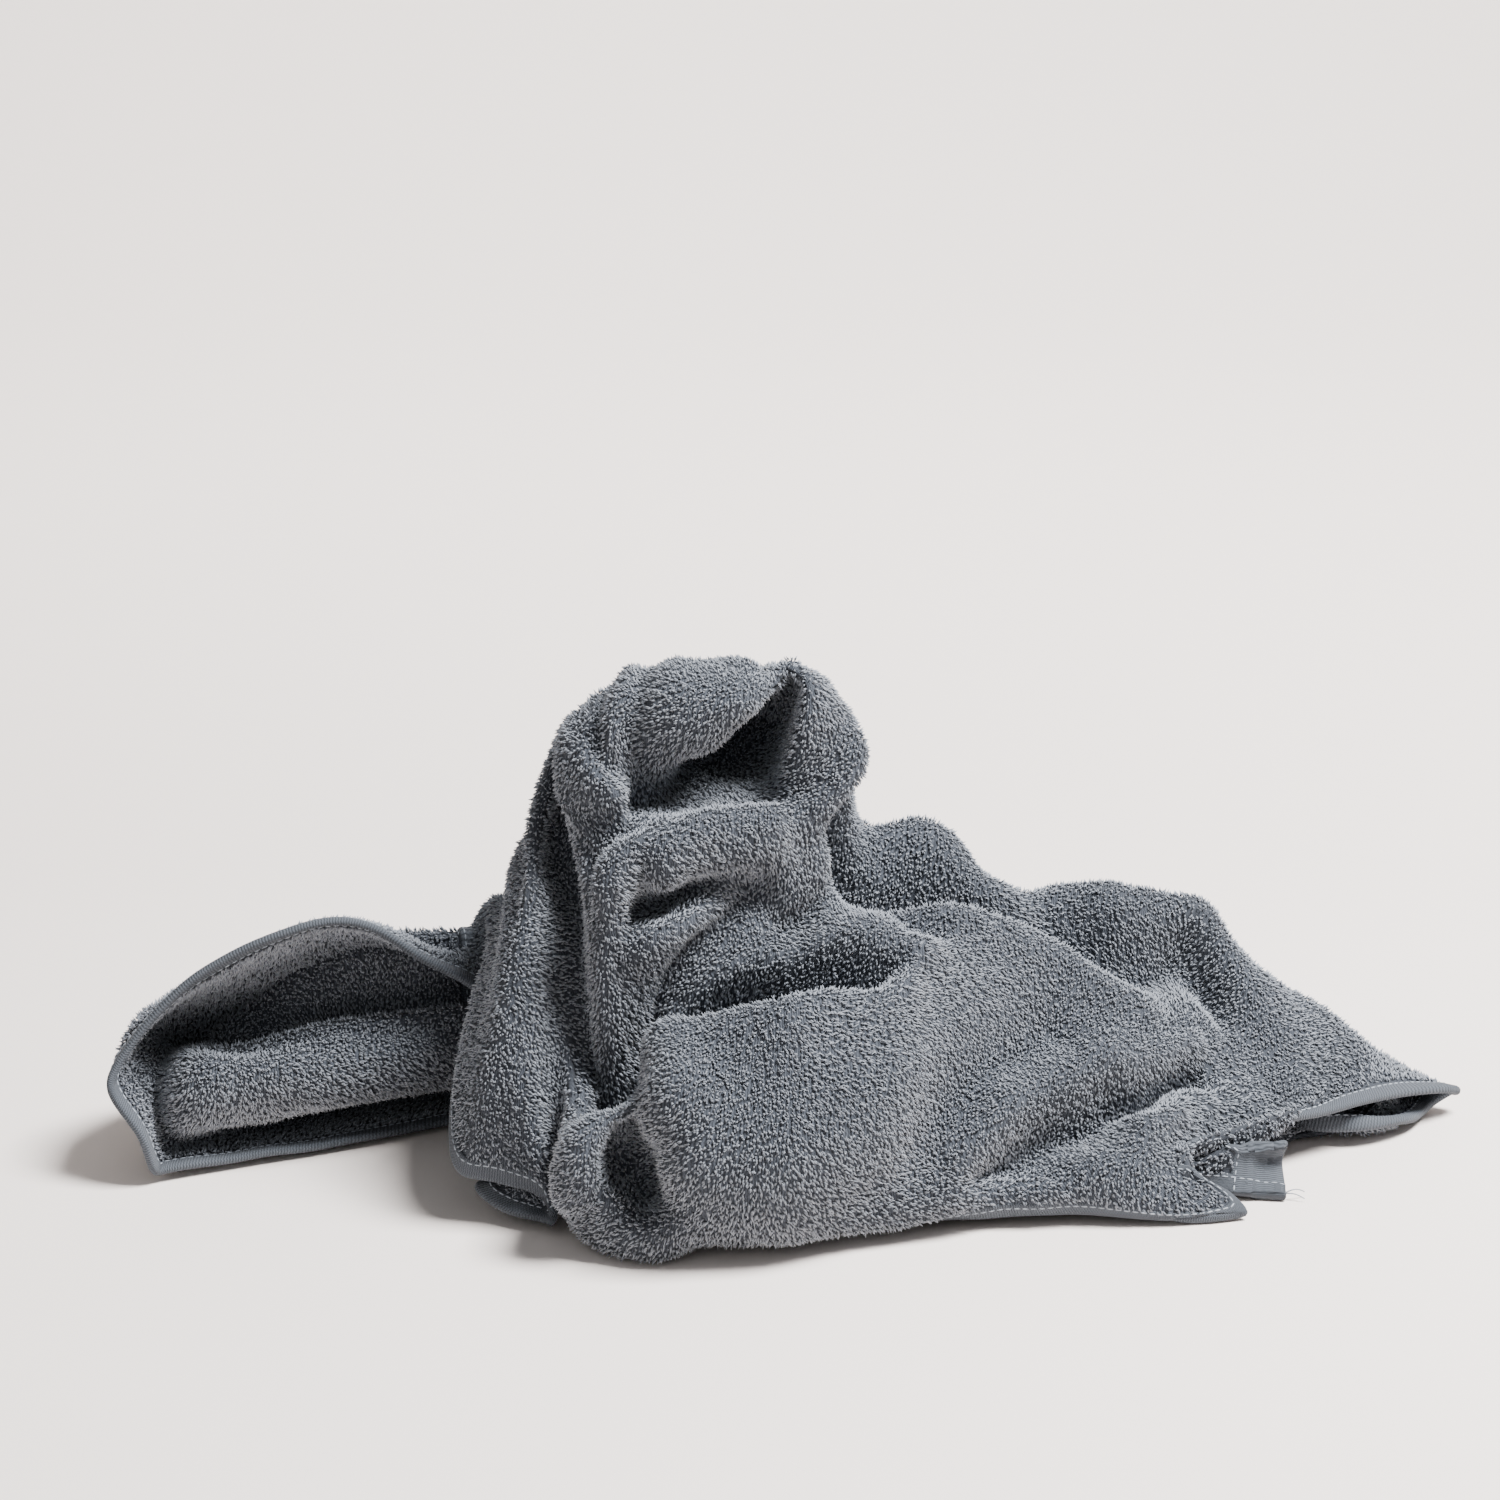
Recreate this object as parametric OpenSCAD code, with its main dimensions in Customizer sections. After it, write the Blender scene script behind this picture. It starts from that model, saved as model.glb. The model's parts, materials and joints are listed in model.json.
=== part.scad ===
/* [Heap] */
// Width of the dropped towel, left tip to right tip
heap_width = 690; // [520:1:860]
// Depth of the dropped towel, front bulge to back foot
heap_depth = 350; // [260:1:440]
// Height of the hood above the floor
heap_height = 262; // [190:1:330]

/* [Cloth] */
// Thickness of the cloth left round the mouth of the lobe
cloth_wall = 8; // [6:0.5:12]

/* [Side hems] */
// Width of a side hem
side_hem_width = 10; // [7:0.5:14]
// Thickness of a side hem, a folded double layer
side_hem_thickness = 5; // [3:0.5:7]

/* [End hems] */
// Width of an end hem
end_hem_width = 28; // [18:1:40]
// Thickness of an end hem
end_hem_thickness = 5; // [3:0.5:7]

/* [Sewing] */
// Thickness of the sewing thread
thread = 1.2; // [0.8:0.1:2]
// Length of a loose thread end at the corner
tail_length = 8; // [4:0.5:20]

/* [Hidden] */

slate = [0.36, 0.40, 0.45];
slate_woven = [0.43, 0.48, 0.54];
thread_grey = [0.50, 0.54, 0.60];

// The design size that the chosen points below are drawn at
drawn_size = [690, 350, 262];
// How far the heap's own size stretches those points
stretch = [heap_width / drawn_size.x, heap_depth / drawn_size.y, heap_height / drawn_size.z];

// Sides of a hem's oval section, and of a thread
hem_sides = 10;
thread_sides = 6;
// Points round a horizontal slice of the hood or leg
slice_sides = 28;
// Steps between two chosen points of a smoothed line
fine_steps = 3;
coarse_steps = 2;
// How far a thread is sunk into the face of its hem
thread_sink = 0.3;

// Profiles of the towel's left lobe: x, then seven [y, z] points from front foot to back foot
lobe_profiles = [
    [-338, [[-62, 0], [-62, 20], [-58, 44], [-50, 50], [-42, 44], [-36, 20], [-34, 0]]],
    [-315, [[-60, 0], [-62, 46], [-52, 72], [-35, 82], [0, 70], [25, 35], [35, 0]]],
    [-285, [[-48, 0], [-55, 48], [-42, 92], [-30, 108], [15, 95], [45, 50], [60, 0]]],
    [-250, [[-25, 0], [-45, 50], [-34, 105], [-22, 122], [25, 112], [60, 60], [78, 0]]],
    [-215, [[-5, 0], [-30, 55], [-25, 110], [-12, 128], [30, 118], [70, 65], [92, 0]]],
    [-180, [[5, 0], [-18, 50], [-10, 90], [4, 104], [45, 108], [85, 60], [104, 0]]],
    [-145, [[-20, 0], [-30, 50], [-10, 98], [10, 110], [50, 112], [90, 60], [112, 0]]]
];

// Profiles of the main heap, in the same order
slope_profiles = [
    [-160, [[-20, 0], [-34, 40], [-14, 90], [15, 110], [48, 112], [88, 62], [110, 0]]],
    [-125, [[-70, 0], [-84, 50], [-48, 120], [0, 160], [45, 155], [96, 88], [126, 0]]],
    [-95, [[-150, 0], [-164, 32], [-128, 88], [-30, 180], [44, 175], [112, 96], [146, 0]]],
    [-45, [[-165, 0], [-170, 44], [-122, 112], [-30, 186], [52, 180], [126, 104], [164, 0]]],
    [10, [[-160, 0], [-168, 44], [-112, 104], [-20, 150], [60, 150], [140, 94], [176, 0]]],
    [60, [[-140, 0], [-148, 40], [-95, 95], [-5, 124], [76, 134], [148, 88], [180, 0]]],
    [110, [[-105, 0], [-120, 34], [-76, 80], [0, 114], [80, 113], [150, 78], [180, 0]]],
    [160, [[-95, 0], [-108, 24], [-66, 50], [0, 86], [80, 113], [145, 72], [170, 0]]],
    [210, [[-84, 0], [-94, 14], [-56, 30], [10, 55], [80, 106], [128, 58], [150, 0]]],
    [250, [[-60, 0], [-68, 8], [-40, 20], [10, 38], [65, 60], [105, 34], [122, 0]]],
    [300, [[-18, 0], [-24, 8], [-10, 16], [15, 24], [50, 34], [75, 20], [88, 0]]],
    [350, [[20, 0], [18, 6], [24, 10], [32, 12], [42, 13], [52, 8], [58, 0]]]
];

// Slices of the hood, from its neck up: height, centre x and y, half widths in x and y
hood_slices = [
    [120, -45, 0, 74, 66], [150, -44, -2, 80, 70], [180, -42, -4, 82, 68], [210, -38, -4, 79, 60],
    [235, -35, -2, 68, 48], [250, -33, 0, 54, 36], [259, -31, 2, 36, 24], [262, -30, 2, 14, 9]
];

// Slices of the leg that hangs in front of the hood's left shoulder
leg_slices = [
    [0, -136, -100, 24, 18], [20, -138, -98, 28, 22], [60, -134, -84, 32, 28],
    [100, -124, -58, 34, 32], [140, -112, -24, 32, 30], [160, -104, -10, 24, 22]
];

// Slices of the hollows, from the inmost one forward: depth y, centre x and z, half widths in x and z
mouth_slices = [
    [34, -236, 80, 38, 8], [0, -240, 86, 52, 14], [-40, -246, 88, 60, 18], [-90, -248, 84, 66, 20]
];
under_roll_slices = [
    [10, -236, 15, 48, 6], [-30, -246, 15, 64, 8], [-100, -250, 15, 70, 8]
];
hood_slices_in = [
    [14, -14, 206, 10, 6], [-10, -12, 210, 22, 14], [-40, -10, 213, 30, 20], [-90, -8, 215, 34, 24]
];
leg_mouth_slices = [
    [-86, -136, 15, 9, 5], [-110, -137, 15, 14, 8], [-140, -137, 15, 15, 9]
];
corner_slices = [
    [24, 296, 9, 20, 3], [0, 294, 9, 27, 4], [-60, 294, 8, 29, 4]
];

// Routes of the hems: x, y, z and how far the strip leans over from upright, in degrees
hem_lobe_route = [
    [-176, 2, 4, 90], [-205, -14, 4, 90], [-240, -33, 4, 90], [-280, -54, 4, 90], [-310, -66, 8, 40],
    [-322, -67, 28, 0], [-329, -64, 46, 0], [-326, -58, 66, 20], [-292, -50, 99, 30],
    [-252, -40, 118, 45], [-215, -28, 124, 50], [-190, -20, 110, 40], [-168, -28, 84, 20]
];
hem_leg_route = [
    [-166, -66, 54, 0], [-168, -92, 34, 0], [-162, -116, 22, 0], [-136, -126, 20, 0], [-112, -118, 20, 0]
];
hem_right_route = [
    [96, -122, 5, 70], [130, -119, 5, 80], [165, -112, 5, 80], [205, -104, 5, 80], [226, -96, 7, 60],
    [222, -84, 14, 70], [205, -84, 17, 80]
];
hem_back_route = [
    [-120, 134, 4, 90], [-70, 160, 4, 90], [0, 178, 4, 90], [70, 184, 4, 90], [140, 180, 4, 90],
    [200, 158, 4, 90], [250, 126, 4, 90], [290, 97, 4, 90], [322, 74, 4, 90]
];
hem_left_route = [[-312, 56, 4, 90], [-270, 80, 4, 90], [-230, 98, 4, 90], [-190, 116, 4, 90]];
hem_flap_route = [
    [212, -62, 24, 75], [250, -42, 20, 70], [280, -22, 19, 70], [316, -2, 18, 70], [346, 22, 13, 70]
];
tab_route = [[212, -92, 12, 80], [232, -86, 11, 80], [252, -77, 9, 80]];

// A chosen point at the heap's own size; a fourth number, the lean, stays as it is
function placed(p) = [p.x * stretch.x, p.y * stretch.y, p.z * stretch.z, len(p) > 3 ? p[3] : 0];
function flat(p) = [p.x, p.y, p.z];

// Smooth curve through a list of points, by Catmull and Rom's rule
function between(a, b, c, d, t) =
    0.5 * (2 * b + (c - a) * t + (2 * a - 5 * b + 4 * c - d) * t * t + (3 * b - a - 3 * c + d) * t * t * t);
function at(list, i) = list[max(0, min(len(list) - 1, i))];
function smooth(list, steps) = [
    for (i = [0 : len(list) - 2], s = [0 : steps - 1])
        between(at(list, i - 1), list[i], list[i + 1], at(list, i + 2), s / steps),
    list[len(list) - 1]
];

// Closed solid through rings of equal count, whose ends are flat caps
module skin(rings) {
    n = len(rings[0]);
    last = (len(rings) - 1) * n;
    sides = [
        for (r = [0 : len(rings) - 2], i = [0 : n - 1], half = [0, 1])
            half == 0
            ? [r * n + i, r * n + (i + 1) % n, (r + 1) * n + (i + 1) % n]
            : [r * n + i, (r + 1) * n + (i + 1) % n, (r + 1) * n + i]
    ];
    caps = [[for (i = [n - 1 : -1 : 0]) i], [for (i = [0 : n - 1]) last + i]];
    polyhedron([for (ring = rings) each ring], concat(sides, caps));
}

// Profiles as rings: smooth over the top from foot to foot, with the underside flat on the floor
function profile_rings(profiles) =
    smooth([
        for (p = profiles) [
            for (q = smooth(p[1], fine_steps)) flat(placed([p[0], q.x, max(0, q.y)]))
        ]
    ], coarse_steps);

function floored(ring) = [for (p = ring) [p.x, p.y, max(0, p.z)]];
module mound(profiles) skin([for (ring = profile_rings(profiles)) floored(ring)]);

// Oval slices stacked along z, or along y for a hollow that is entered from the front
function oval(slice) = [
    for (i = [0 : slice_sides - 1])
        let (angle = -360 * i / slice_sides)
            [slice[1] + slice[3] * cos(angle), slice[2] + slice[4] * sin(angle), slice[0]]
];
module stack(slices)
    skin([for (s = smooth(slices, coarse_steps)) [for (p = oval(s)) flat(placed(p))]]);
module hollow(slices)
    skin([for (s = smooth(slices, coarse_steps)) [for (p = oval(s)) flat(placed([p.x, p.z, p.y]))]]);

// Direction of a route at point i
function heading(route, i) =
    let (d = flat(at(route, i + 1)) - flat(at(route, i - 1))) d / norm(d);
// The strip's own width and thickness directions at point i, leaning over by its angle
function across(route, i) =
    let (
        along = heading(route, i),
        raw_side = cross(along, [0, 0, 1]),
        side = norm(raw_side) > 0.2 ? raw_side / norm(raw_side) : [0, -1, 0],
        up = cross(side, along),
        lean = route[i][3]
    ) up * cos(lean) + side * sin(lean);
function outward(route, i) = cross(heading(route, i), across(route, i));

// Oval strip along a route
module strip(route, width, thickness, sides)
    skin([
        for (i = [0 : len(route) - 1]) [
            for (k = [0 : sides - 1])
                let (angle = -360 * (k + 0.5) / sides)
                    flat(route[i])
                    + across(route, i) * width / 2 * cos(angle) / cos(180 / sides)
                    + outward(route, i) * thickness / 2 * sin(angle) / cos(180 / sides)
        ]
    ]);

function hem_line(route) = smooth([for (p = route) placed(p)], fine_steps);

// A thread laid on the face of a hem, near its inner edge
function thread_line(route, width, thickness, face) =
    let (line = hem_line(route))
        [for (i = [0 : len(line) - 1])
            let (
                p = flat(line[i]) + across(line, i) * width * 0.18
                    + outward(line, i) * face * (thickness / 2 - thread_sink)
            ) [p.x, p.y, p.z, line[i][3]]];

module side_hem(route)
    color(slate_woven) strip(hem_line(route), side_hem_width, side_hem_thickness, hem_sides);
module end_hem(route)
    color(slate_woven) strip(hem_line(route), end_hem_width, end_hem_thickness, hem_sides);
module side_stitching(route, face)
    color(thread_grey)
        strip(thread_line(route, side_hem_width, side_hem_thickness, face), thread, thread, thread_sides);
module end_stitching(route, face)
    color(thread_grey)
        strip(thread_line(route, end_hem_width, end_hem_thickness, face), thread, thread, thread_sides);

// Hollow of the lobe's mouth, a cloth wall inside the roof
module mouth() translate([0, 0, -cloth_wall / 2]) hollow(mouth_slices);

module terry_panel()
    color(slate) difference() {
        union() {
            mound(lobe_profiles);
            mound(slope_profiles);
            stack(hood_slices);
            stack(leg_slices);
        }
        mouth();
        hollow(under_roll_slices);
        hollow(hood_slices_in);
        hollow(leg_mouth_slices);
        hollow(corner_slices);
    }

module side_hem_front() {
    side_hem(hem_lobe_route);
    side_hem(hem_leg_route);
    side_hem(hem_right_route);
}

module side_hem_back() side_hem(hem_back_route);

module end_hem_left() end_hem(hem_left_route);

module end_hem_right() {
    side_hem(hem_flap_route);
    end_hem(tab_route);
}

module stitching_front() {
    side_stitching(hem_lobe_route, 1);
    side_stitching(hem_leg_route, 1);
    side_stitching(hem_right_route, 1);
}

module stitching_back() side_stitching(hem_back_route, 1);

module stitching_left() end_stitching(hem_left_route, 1);

module stitching_right() {
    side_stitching(hem_flap_route, 1);
    end_stitching(tab_route, 1);
}

// Two loose ends where the stitching stops at the tab's corner
module thread_tails()
    color(thread_grey)
        for (side = [-1, 1]) {
            corner = placed(tab_route[len(tab_route) - 1]);
            start = flat(corner) + [0, side * 5, 0];
            strip([
                [start.x, start.y, start.z, 0],
                [start.x + tail_length / 2, start.y - 1, start.z - 1, 0],
                [start.x + tail_length, start.y - 2, start.z - 3, 0]
            ], thread, thread, thread_sides);
        }

terry_panel();
side_hem_front();
side_hem_back();
end_hem_left();
end_hem_right();
stitching_front();
stitching_back();
stitching_left();
stitching_right();
thread_tails();
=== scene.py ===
"""A terry bath towel dropped in a loose heap on a floor.

The towel is one rectangle of cloth. It is ruled in marks, 140 along its length and 70 across
its width. RIBS says where each ruled line across the towel lies, and FOLDS are the creases
and rolls pressed into it afterwards. The loops, hems and stitches follow the laid cloth.
"""

import json
import math

import bpy
import numpy as np
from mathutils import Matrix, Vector
from mathutils.bvhtree import BVHTree

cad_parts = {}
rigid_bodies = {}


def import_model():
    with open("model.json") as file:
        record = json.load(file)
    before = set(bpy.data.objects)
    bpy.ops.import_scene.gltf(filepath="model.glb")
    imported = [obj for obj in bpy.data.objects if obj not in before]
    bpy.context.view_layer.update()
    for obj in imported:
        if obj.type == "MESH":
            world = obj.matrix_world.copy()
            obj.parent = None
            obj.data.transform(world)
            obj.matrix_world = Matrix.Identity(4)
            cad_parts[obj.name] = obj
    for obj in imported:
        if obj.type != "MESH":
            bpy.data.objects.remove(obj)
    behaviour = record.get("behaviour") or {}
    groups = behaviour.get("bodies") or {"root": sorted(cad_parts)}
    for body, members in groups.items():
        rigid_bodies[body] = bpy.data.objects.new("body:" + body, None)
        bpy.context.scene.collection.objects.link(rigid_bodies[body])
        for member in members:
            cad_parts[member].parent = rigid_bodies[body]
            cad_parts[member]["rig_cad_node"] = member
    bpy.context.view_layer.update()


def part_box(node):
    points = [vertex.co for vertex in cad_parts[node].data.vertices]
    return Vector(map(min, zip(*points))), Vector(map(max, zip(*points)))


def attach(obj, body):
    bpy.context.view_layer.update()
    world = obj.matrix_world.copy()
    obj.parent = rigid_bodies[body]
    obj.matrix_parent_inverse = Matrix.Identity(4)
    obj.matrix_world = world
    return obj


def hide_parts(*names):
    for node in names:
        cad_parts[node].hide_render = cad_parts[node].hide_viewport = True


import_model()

bl_info = {
    "name": "Dropped bath towel",
    "version": (1, 0, 0),
    "blender": (4, 5, 0),
    "location": "View3D > Sidebar > Towel",
    "description": "Lays a terry bath towel in a loose heap, with loops, hems and stitching",
    "category": "Add Mesh",
}

MM = 0.001
MARKS_LONG = 140
MARKS_WIDE = 70
BAKE_MAP = "OFBake"
THREAD_MAP = "Threads"

# The lowest that the middle of the cloth lies, and the lowest point of a hem.
FLOOR_CLEARANCE = 3 * MM
HEM_REST = 0.6 * MM
# Closer to the floor than this, stitches are left out and loops are made small.
FLOOR_GAP = 1 * MM
# How far the cloth is drawn in, to leave its loops room.
LOOP_ROOM = 2.5 * MM
HEM_POINTS_PER_MARK = 4
HEM_MAP_ROWS = 24
STITCH_INSET = 2.2 * MM
LOOPS_PER_PIECE = 33000
# Share of directions that are free, above which cloth gets all its loops or some of them.
WELL_OPEN = 0.12
BARELY_OPEN = 0.02

# Each rib is one ruled line across the towel: (mark across, x, y, z), in mm.
RIBS = {
    0: [
        (0, -134, 28, 3), (5, -136, 62, 4), (10, -132, 55, 28), (14, -130, 26, 32), (18, -129, 14, 50),
        (22, -130, 28, 70), (25.5, -134, 48, 66), (28.5, -136, 58, 78), (32, -138, 78, 70),
        (38, -148, 98, 30), (44, -142, 108, 5), (52, -110, 120, 5), (60, -70, 60, 5), (70, -50, -20, 5),
    ],
    8: [
        (0, -236, -24, 3), (5, -236, 22, 4), (9, -236, 24, 24), (12.5, -236, -6, 25), (15, -237, -26, 36),
        (18, -238, -24, 54), (21, -238, -4, 66), (23.5, -238, 14, 60), (26, -236, 24, 70),
        (29, -234, 40, 78), (32, -230, 58, 50), (36, -225, 80, 6), (44, -215, 120, 5), (50, -200, 150, 5),
        (60, -150, 90, 5), (70, -120, 42, 5),
    ],
    12: [
        (0, -276, -42, 3), (4.5, -274, -4, 4), (8.5, -272, 0, 20), (12, -270, -26, 24),
        (14.5, -270, -38, 38), (17.5, -268, -30, 54), (20.5, -268, -8, 58), (23.5, -266, 12, 52),
        (27, -262, 30, 56), (30, -258, 48, 34), (33, -252, 64, 6), (42, -250, 120, 5), (48, -235, 152, 5),
        (58, -190, 90, 5), (70, -175, 48, 5),
    ],
    16: [
        (0, -314, -60, 3), (4, -312, -32, 5), (7.5, -308, -30, 20), (10.5, -304, -42, 30),
        (13.5, -301, -44, 44), (17, -297, -24, 54), (21, -292, 4, 50), (26, -287, 34, 32),
        (31, -280, 58, 6), (40, -285, 120, 5), (45, -270, 150, 5), (56, -225, 70, 5), (70, -215, 48, 5),
    ],
    19: [
        (0, -322, -64, 26), (5, -320, -30, 32), (9, -316, -8, 40), (14, -312, 18, 38), (19, -306, 42, 24),
        (24, -298, 60, 5), (34, -300, 118, 5), (40, -292, 140, 6), (52, -250, 60, 7), (70, -245, 46, 6),
    ],
    22.5: [
        (0, -338, -50, 48), (5, -330, -10, 58), (10, -320, 22, 46), (15, -310, 48, 22), (19, -302, 65, 5),
        (29, -300, 120, 6), (35, -290, 140, 10), (48, -260, 70, 12), (70, -262, 44, 8),
    ],
    30: [
        (0, -290, -35, 106), (5, -285, 8, 86), (10, -280, 42, 56), (15, -274, 66, 20), (18, -270, 80, 5),
        (26, -262, 130, 8), (33, -240, 165, 14), (40, -225, 182, 8), (52, -215, 100, 12), (70, -225, 42, 8),
    ],
    37.5: [
        (0, -215, -20, 128), (5, -213, 24, 108), (10, -210, 60, 75), (15, -205, 84, 34), (19, -200, 98, 10),
        (28, -185, 140, 24), (36, -165, 172, 22), (42, -150, 186, 8), (54, -150, 90, 10), (70, -165, 46, 8),
    ],
    42.5: [
        (0, -170, 0, 96), (5, -170, 42, 88), (10, -168, 80, 70), (15, -165, 105, 40), (20, -160, 122, 20),
        (28, -145, 150, 34), (36, -128, 176, 24), (42, -118, 187, 8), (54, -115, 90, 8), (70, -125, 24, 6),
    ],
    45.5: [
        (0, -150, -5, 80), (4, -150, 25, 92), (8, -150, 60, 109), (13, -146, 92, 90), (19, -140, 120, 50),
        (26, -130, 145, 35), (34, -115, 160, 45), (41, -100, 182, 22), (46, -92, 186, 6), (56, -85, 100, 6),
        (70, -90, 0, 5),
    ],
    49: [
        (0, -162, -40, 71), (5, -150, -8, 98), (10, -140, 22, 118), (15, -128, 48, 130),
        (21, -116, 80, 110), (28, -106, 110, 80), (36, -98, 140, 60), (46, -88, 168, 28), (52, -80, 184, 6),
        (60, -68, 110, 6), (70, -65, 10, 5),
    ],
    52: [
        (0, -165, -80, 47), (5, -152, -50, 88), (10, -139, -24, 122), (14, -137, -8, 150),
        (19, -124, 18, 165), (25, -108, 50, 160), (32, -98, 88, 120), (40, -90, 125, 75),
        (48, -82, 160, 35), (54, -76, 178, 6), (62, -55, 110, 6), (70, -45, 35, 5),
    ],
    54.5: [
        (0, -162, -105, 26), (5, -152, -98, 68), (10, -141, -76, 108), (15, -131, -46, 142),
        (20, -124, -20, 170), (25, -114, 5, 196), (30, -103, 30, 210), (36, -95, 62, 180),
        (43, -88, 98, 125), (50, -80, 135, 70), (58, -72, 170, 8), (64, -40, 120, 6), (70, -30, 60, 5),
    ],
    57.5: [
        (0, -138, -114, 21), (5, -134, -110, 64), (10, -130, -88, 106), (15, -126, -58, 140),
        (19, -124, -30, 164), (22, -120, -4, 178), (26, -111, 22, 194), (31, -101, 44, 210),
        (36, -94, 62, 190), (42, -87, 84, 145), (49, -79, 116, 90), (57, -71, 152, 34), (61, -68, 168, 6),
        (70, -66, 120, 4),
    ],
    60: [
        (0, -114, -121, 13), (5, -117, -112, 58), (10, -117, -88, 98), (15, -117, -58, 132),
        (18.5, -118, -34, 156), (21.5, -118, -8, 172), (25, -112, 18, 192), (30, -102, 42, 214),
        (35, -92, 58, 207), (41, -84, 72, 165), (48, -76, 96, 115), (56, -68, 135, 60), (63, -62, 160, 10),
        (70, -60, 140, 4),
    ],
    61: [
        (0, -109, -129, 5), (4, -111, -104, 36), (8, -111, -93, 72), (12, -112, -73, 104),
        (15.5, -113, -48, 134), (19, -115, -14, 160), (22, -112, 6, 180), (26, -108, 22, 204),
        (30, -101, 34, 217), (35, -91, 50, 212), (41, -82, 68, 175), (48, -74, 92, 125), (56, -67, 130, 68),
        (63, -61, 158, 14), (66, -60, 164, 5), (70, -59, 145, 4),
    ],
    62: [
        (0, -114, -125, 5), (3, -110, -112, 12), (6, -106, -110, 38), (9, -105, -97, 68),
        (12.5, -104, -77, 96), (15.5, -104, -54, 124), (19, -105, -22, 152), (22, -107, 6, 178),
        (26, -106, 18, 206), (30, -98, 24, 222), (35, -88, 40, 227), (41, -80, 62, 190), (48, -72, 84, 140),
        (56, -66, 122, 80), (63, -60, 155, 20), (66, -58, 165, 5), (70, -58, 150, 4),
    ],
    64: [
        (0, -134, -114, 5), (4, -112, -106, 20), (7, -107, -130, 38), (10, -103, -114, 59),
        (13, -100, -91, 71), (16, -98, -75, 94), (19, -97, -64, 126), (22, -98, -52, 154),
        (25, -104, -38, 182), (28, -111, -22, 200), (31, -109, -8, 219), (34, -99, 6, 228),
        (38, -88, 24, 236), (43, -78, 50, 215), (49, -70, 70, 160), (56, -64, 108, 100), (62, -60, 145, 42),
        (66, -56, 163, 8), (70, -56, 165, 4),
    ],
    66.5: [
        (0, -152, -97, 12), (4, -110, -108, 24), (8, -102, -150, 34), (11.5, -98, -142, 58),
        (14.5, -93, -112, 63), (17.5, -90, -90, 76), (20.5, -88, -84, 107), (23.5, -87, -76, 142),
        (26.5, -88, -62, 168), (29, -94, -52, 187), (31.5, -97, -46, 206), (34, -98, -37, 222),
        (37, -94, -14, 231), (40, -84, 14, 238), (45, -74, 42, 232), (50, -68, 62, 185), (56, -62, 95, 120),
        (62, -58, 135, 60), (67, -56, 160, 12), (70, -56, 168, 5),
    ],
    69: [
        (0, -128, -92, 8), (4, -95, -132, 14), (8, -88, -162, 36), (11.5, -85, -147, 63),
        (15, -82, -114, 67), (18, -80, -92, 76), (21, -79, -84, 107), (23.5, -78, -80, 138),
        (26, -77, -76, 162), (28, -75, -66, 178), (29.8, -71, -60, 182), (31, -70, -58, 190),
        (34, -74, -51, 207), (36.5, -82, -42, 221), (39, -84, -30, 239), (42, -77, -8, 249),
        (47, -68, 30, 242), (52, -64, 56, 200), (58, -60, 90, 130), (64, -57, 135, 60),
        (68.5, -56, 162, 10), (70, -56, 168, 5),
    ],
    70.5: [
        (0, -108, -107, 6), (3.5, -86, -139, 10), (6.2, -80, -165, 30), (7.8, -79, -160, 43),
        (9, -76, -130, 37), (10, -74, -112, 45), (11.1, -74, -120, 60), (12.2, -76, -146, 72),
        (15, -74, -114, 74), (18, -72, -92, 83), (21, -71, -84, 112), (23.5, -70, -83, 139),
        (26, -69, -66, 157), (28, -67, -68, 178), (29.8, -64, -56, 182), (31, -63, -50, 188),
        (34, -64, -30, 200), (36.5, -71, -24, 212), (39, -75, -27, 221), (42, -71, -20, 240),
        (47, -62, 16, 248), (52, -60, 49, 215), (58, -56, 83, 147), (64, -54, 127, 75),
        (68.5, -53, 159, 21), (70, -53, 167, 10),
    ],
    72: [
        (0, -88, -122, 3), (3.5, -74, -150, 8), (5.2, -71, -165, 22), (6.2, -69, -150, 23),
        (7.2, -66, -130, 26), (8.4, -65, -126, 38), (9.6, -67, -142, 56), (11, -68, -152, 70),
        (14.5, -66, -118, 80), (17.5, -64, -94, 86), (20.5, -63, -84, 112), (23, -62, -86, 136),
        (24.7, -62, -78, 149), (25.9, -62, -56, 151), (27.2, -61, -74, 161), (29, -60, -70, 178),
        (31, -58, -46, 187), (33, -57, -26, 186), (35.2, -58, -8, 190), (37.5, -64, -14, 192),
        (40.5, -66, -32, 216), (43.5, -64, -26, 244), (46, -58, -6, 254), (50, -56, 30, 245),
        (55, -54, 58, 198), (61, -52, 95, 128), (67, -50, 145, 50), (70, -50, 166, 14),
    ],
    76: [
        (0, -52, -128, 3), (3, -44, -158, 8), (7, -40, -171, 45), (11, -38, -146, 84),
        (14.5, -36, -112, 98), (17.5, -34, -82, 96), (20.5, -34, -66, 120), (23.5, -34, -68, 146),
        (25, -34, -58, 156), (26.5, -34, -66, 168), (28.5, -34, -56, 184), (30.5, -34, -36, 186),
        (33, -34, -12, 189), (35.2, -34, 10, 196), (37.2, -34, 24, 206), (39, -34, 20, 213),
        (41, -34, -6, 212), (42.5, -35, -24, 216), (45, -36, -30, 238), (47.5, -34, -16, 251),
        (50, -33, 8, 254), (54, -32, 42, 240), (59, -31, 66, 188), (65, -30, 106, 118), (70, -28, 158, 30),
    ],
    79: [
        (0, -18, -128, 3), (3, -14, -157, 8), (7, -12, -170, 45), (11, -11, -144, 82), (15, -9, -108, 106),
        (18, -8, -80, 103), (21, -7, -58, 122), (24, -6, -52, 150), (27, -5, -52, 176), (29, -5, -38, 186),
        (31, -5, -24, 188), (33.5, -5, 0, 191), (36, -6, 22, 198), (38.5, -8, 36, 216), (41, -9, 24, 232),
        (43, -10, 0, 236), (44.5, -10, -16, 238), (46.5, -9, -18, 245), (49, -8, 2, 248), (53, -8, 36, 240),
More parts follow.
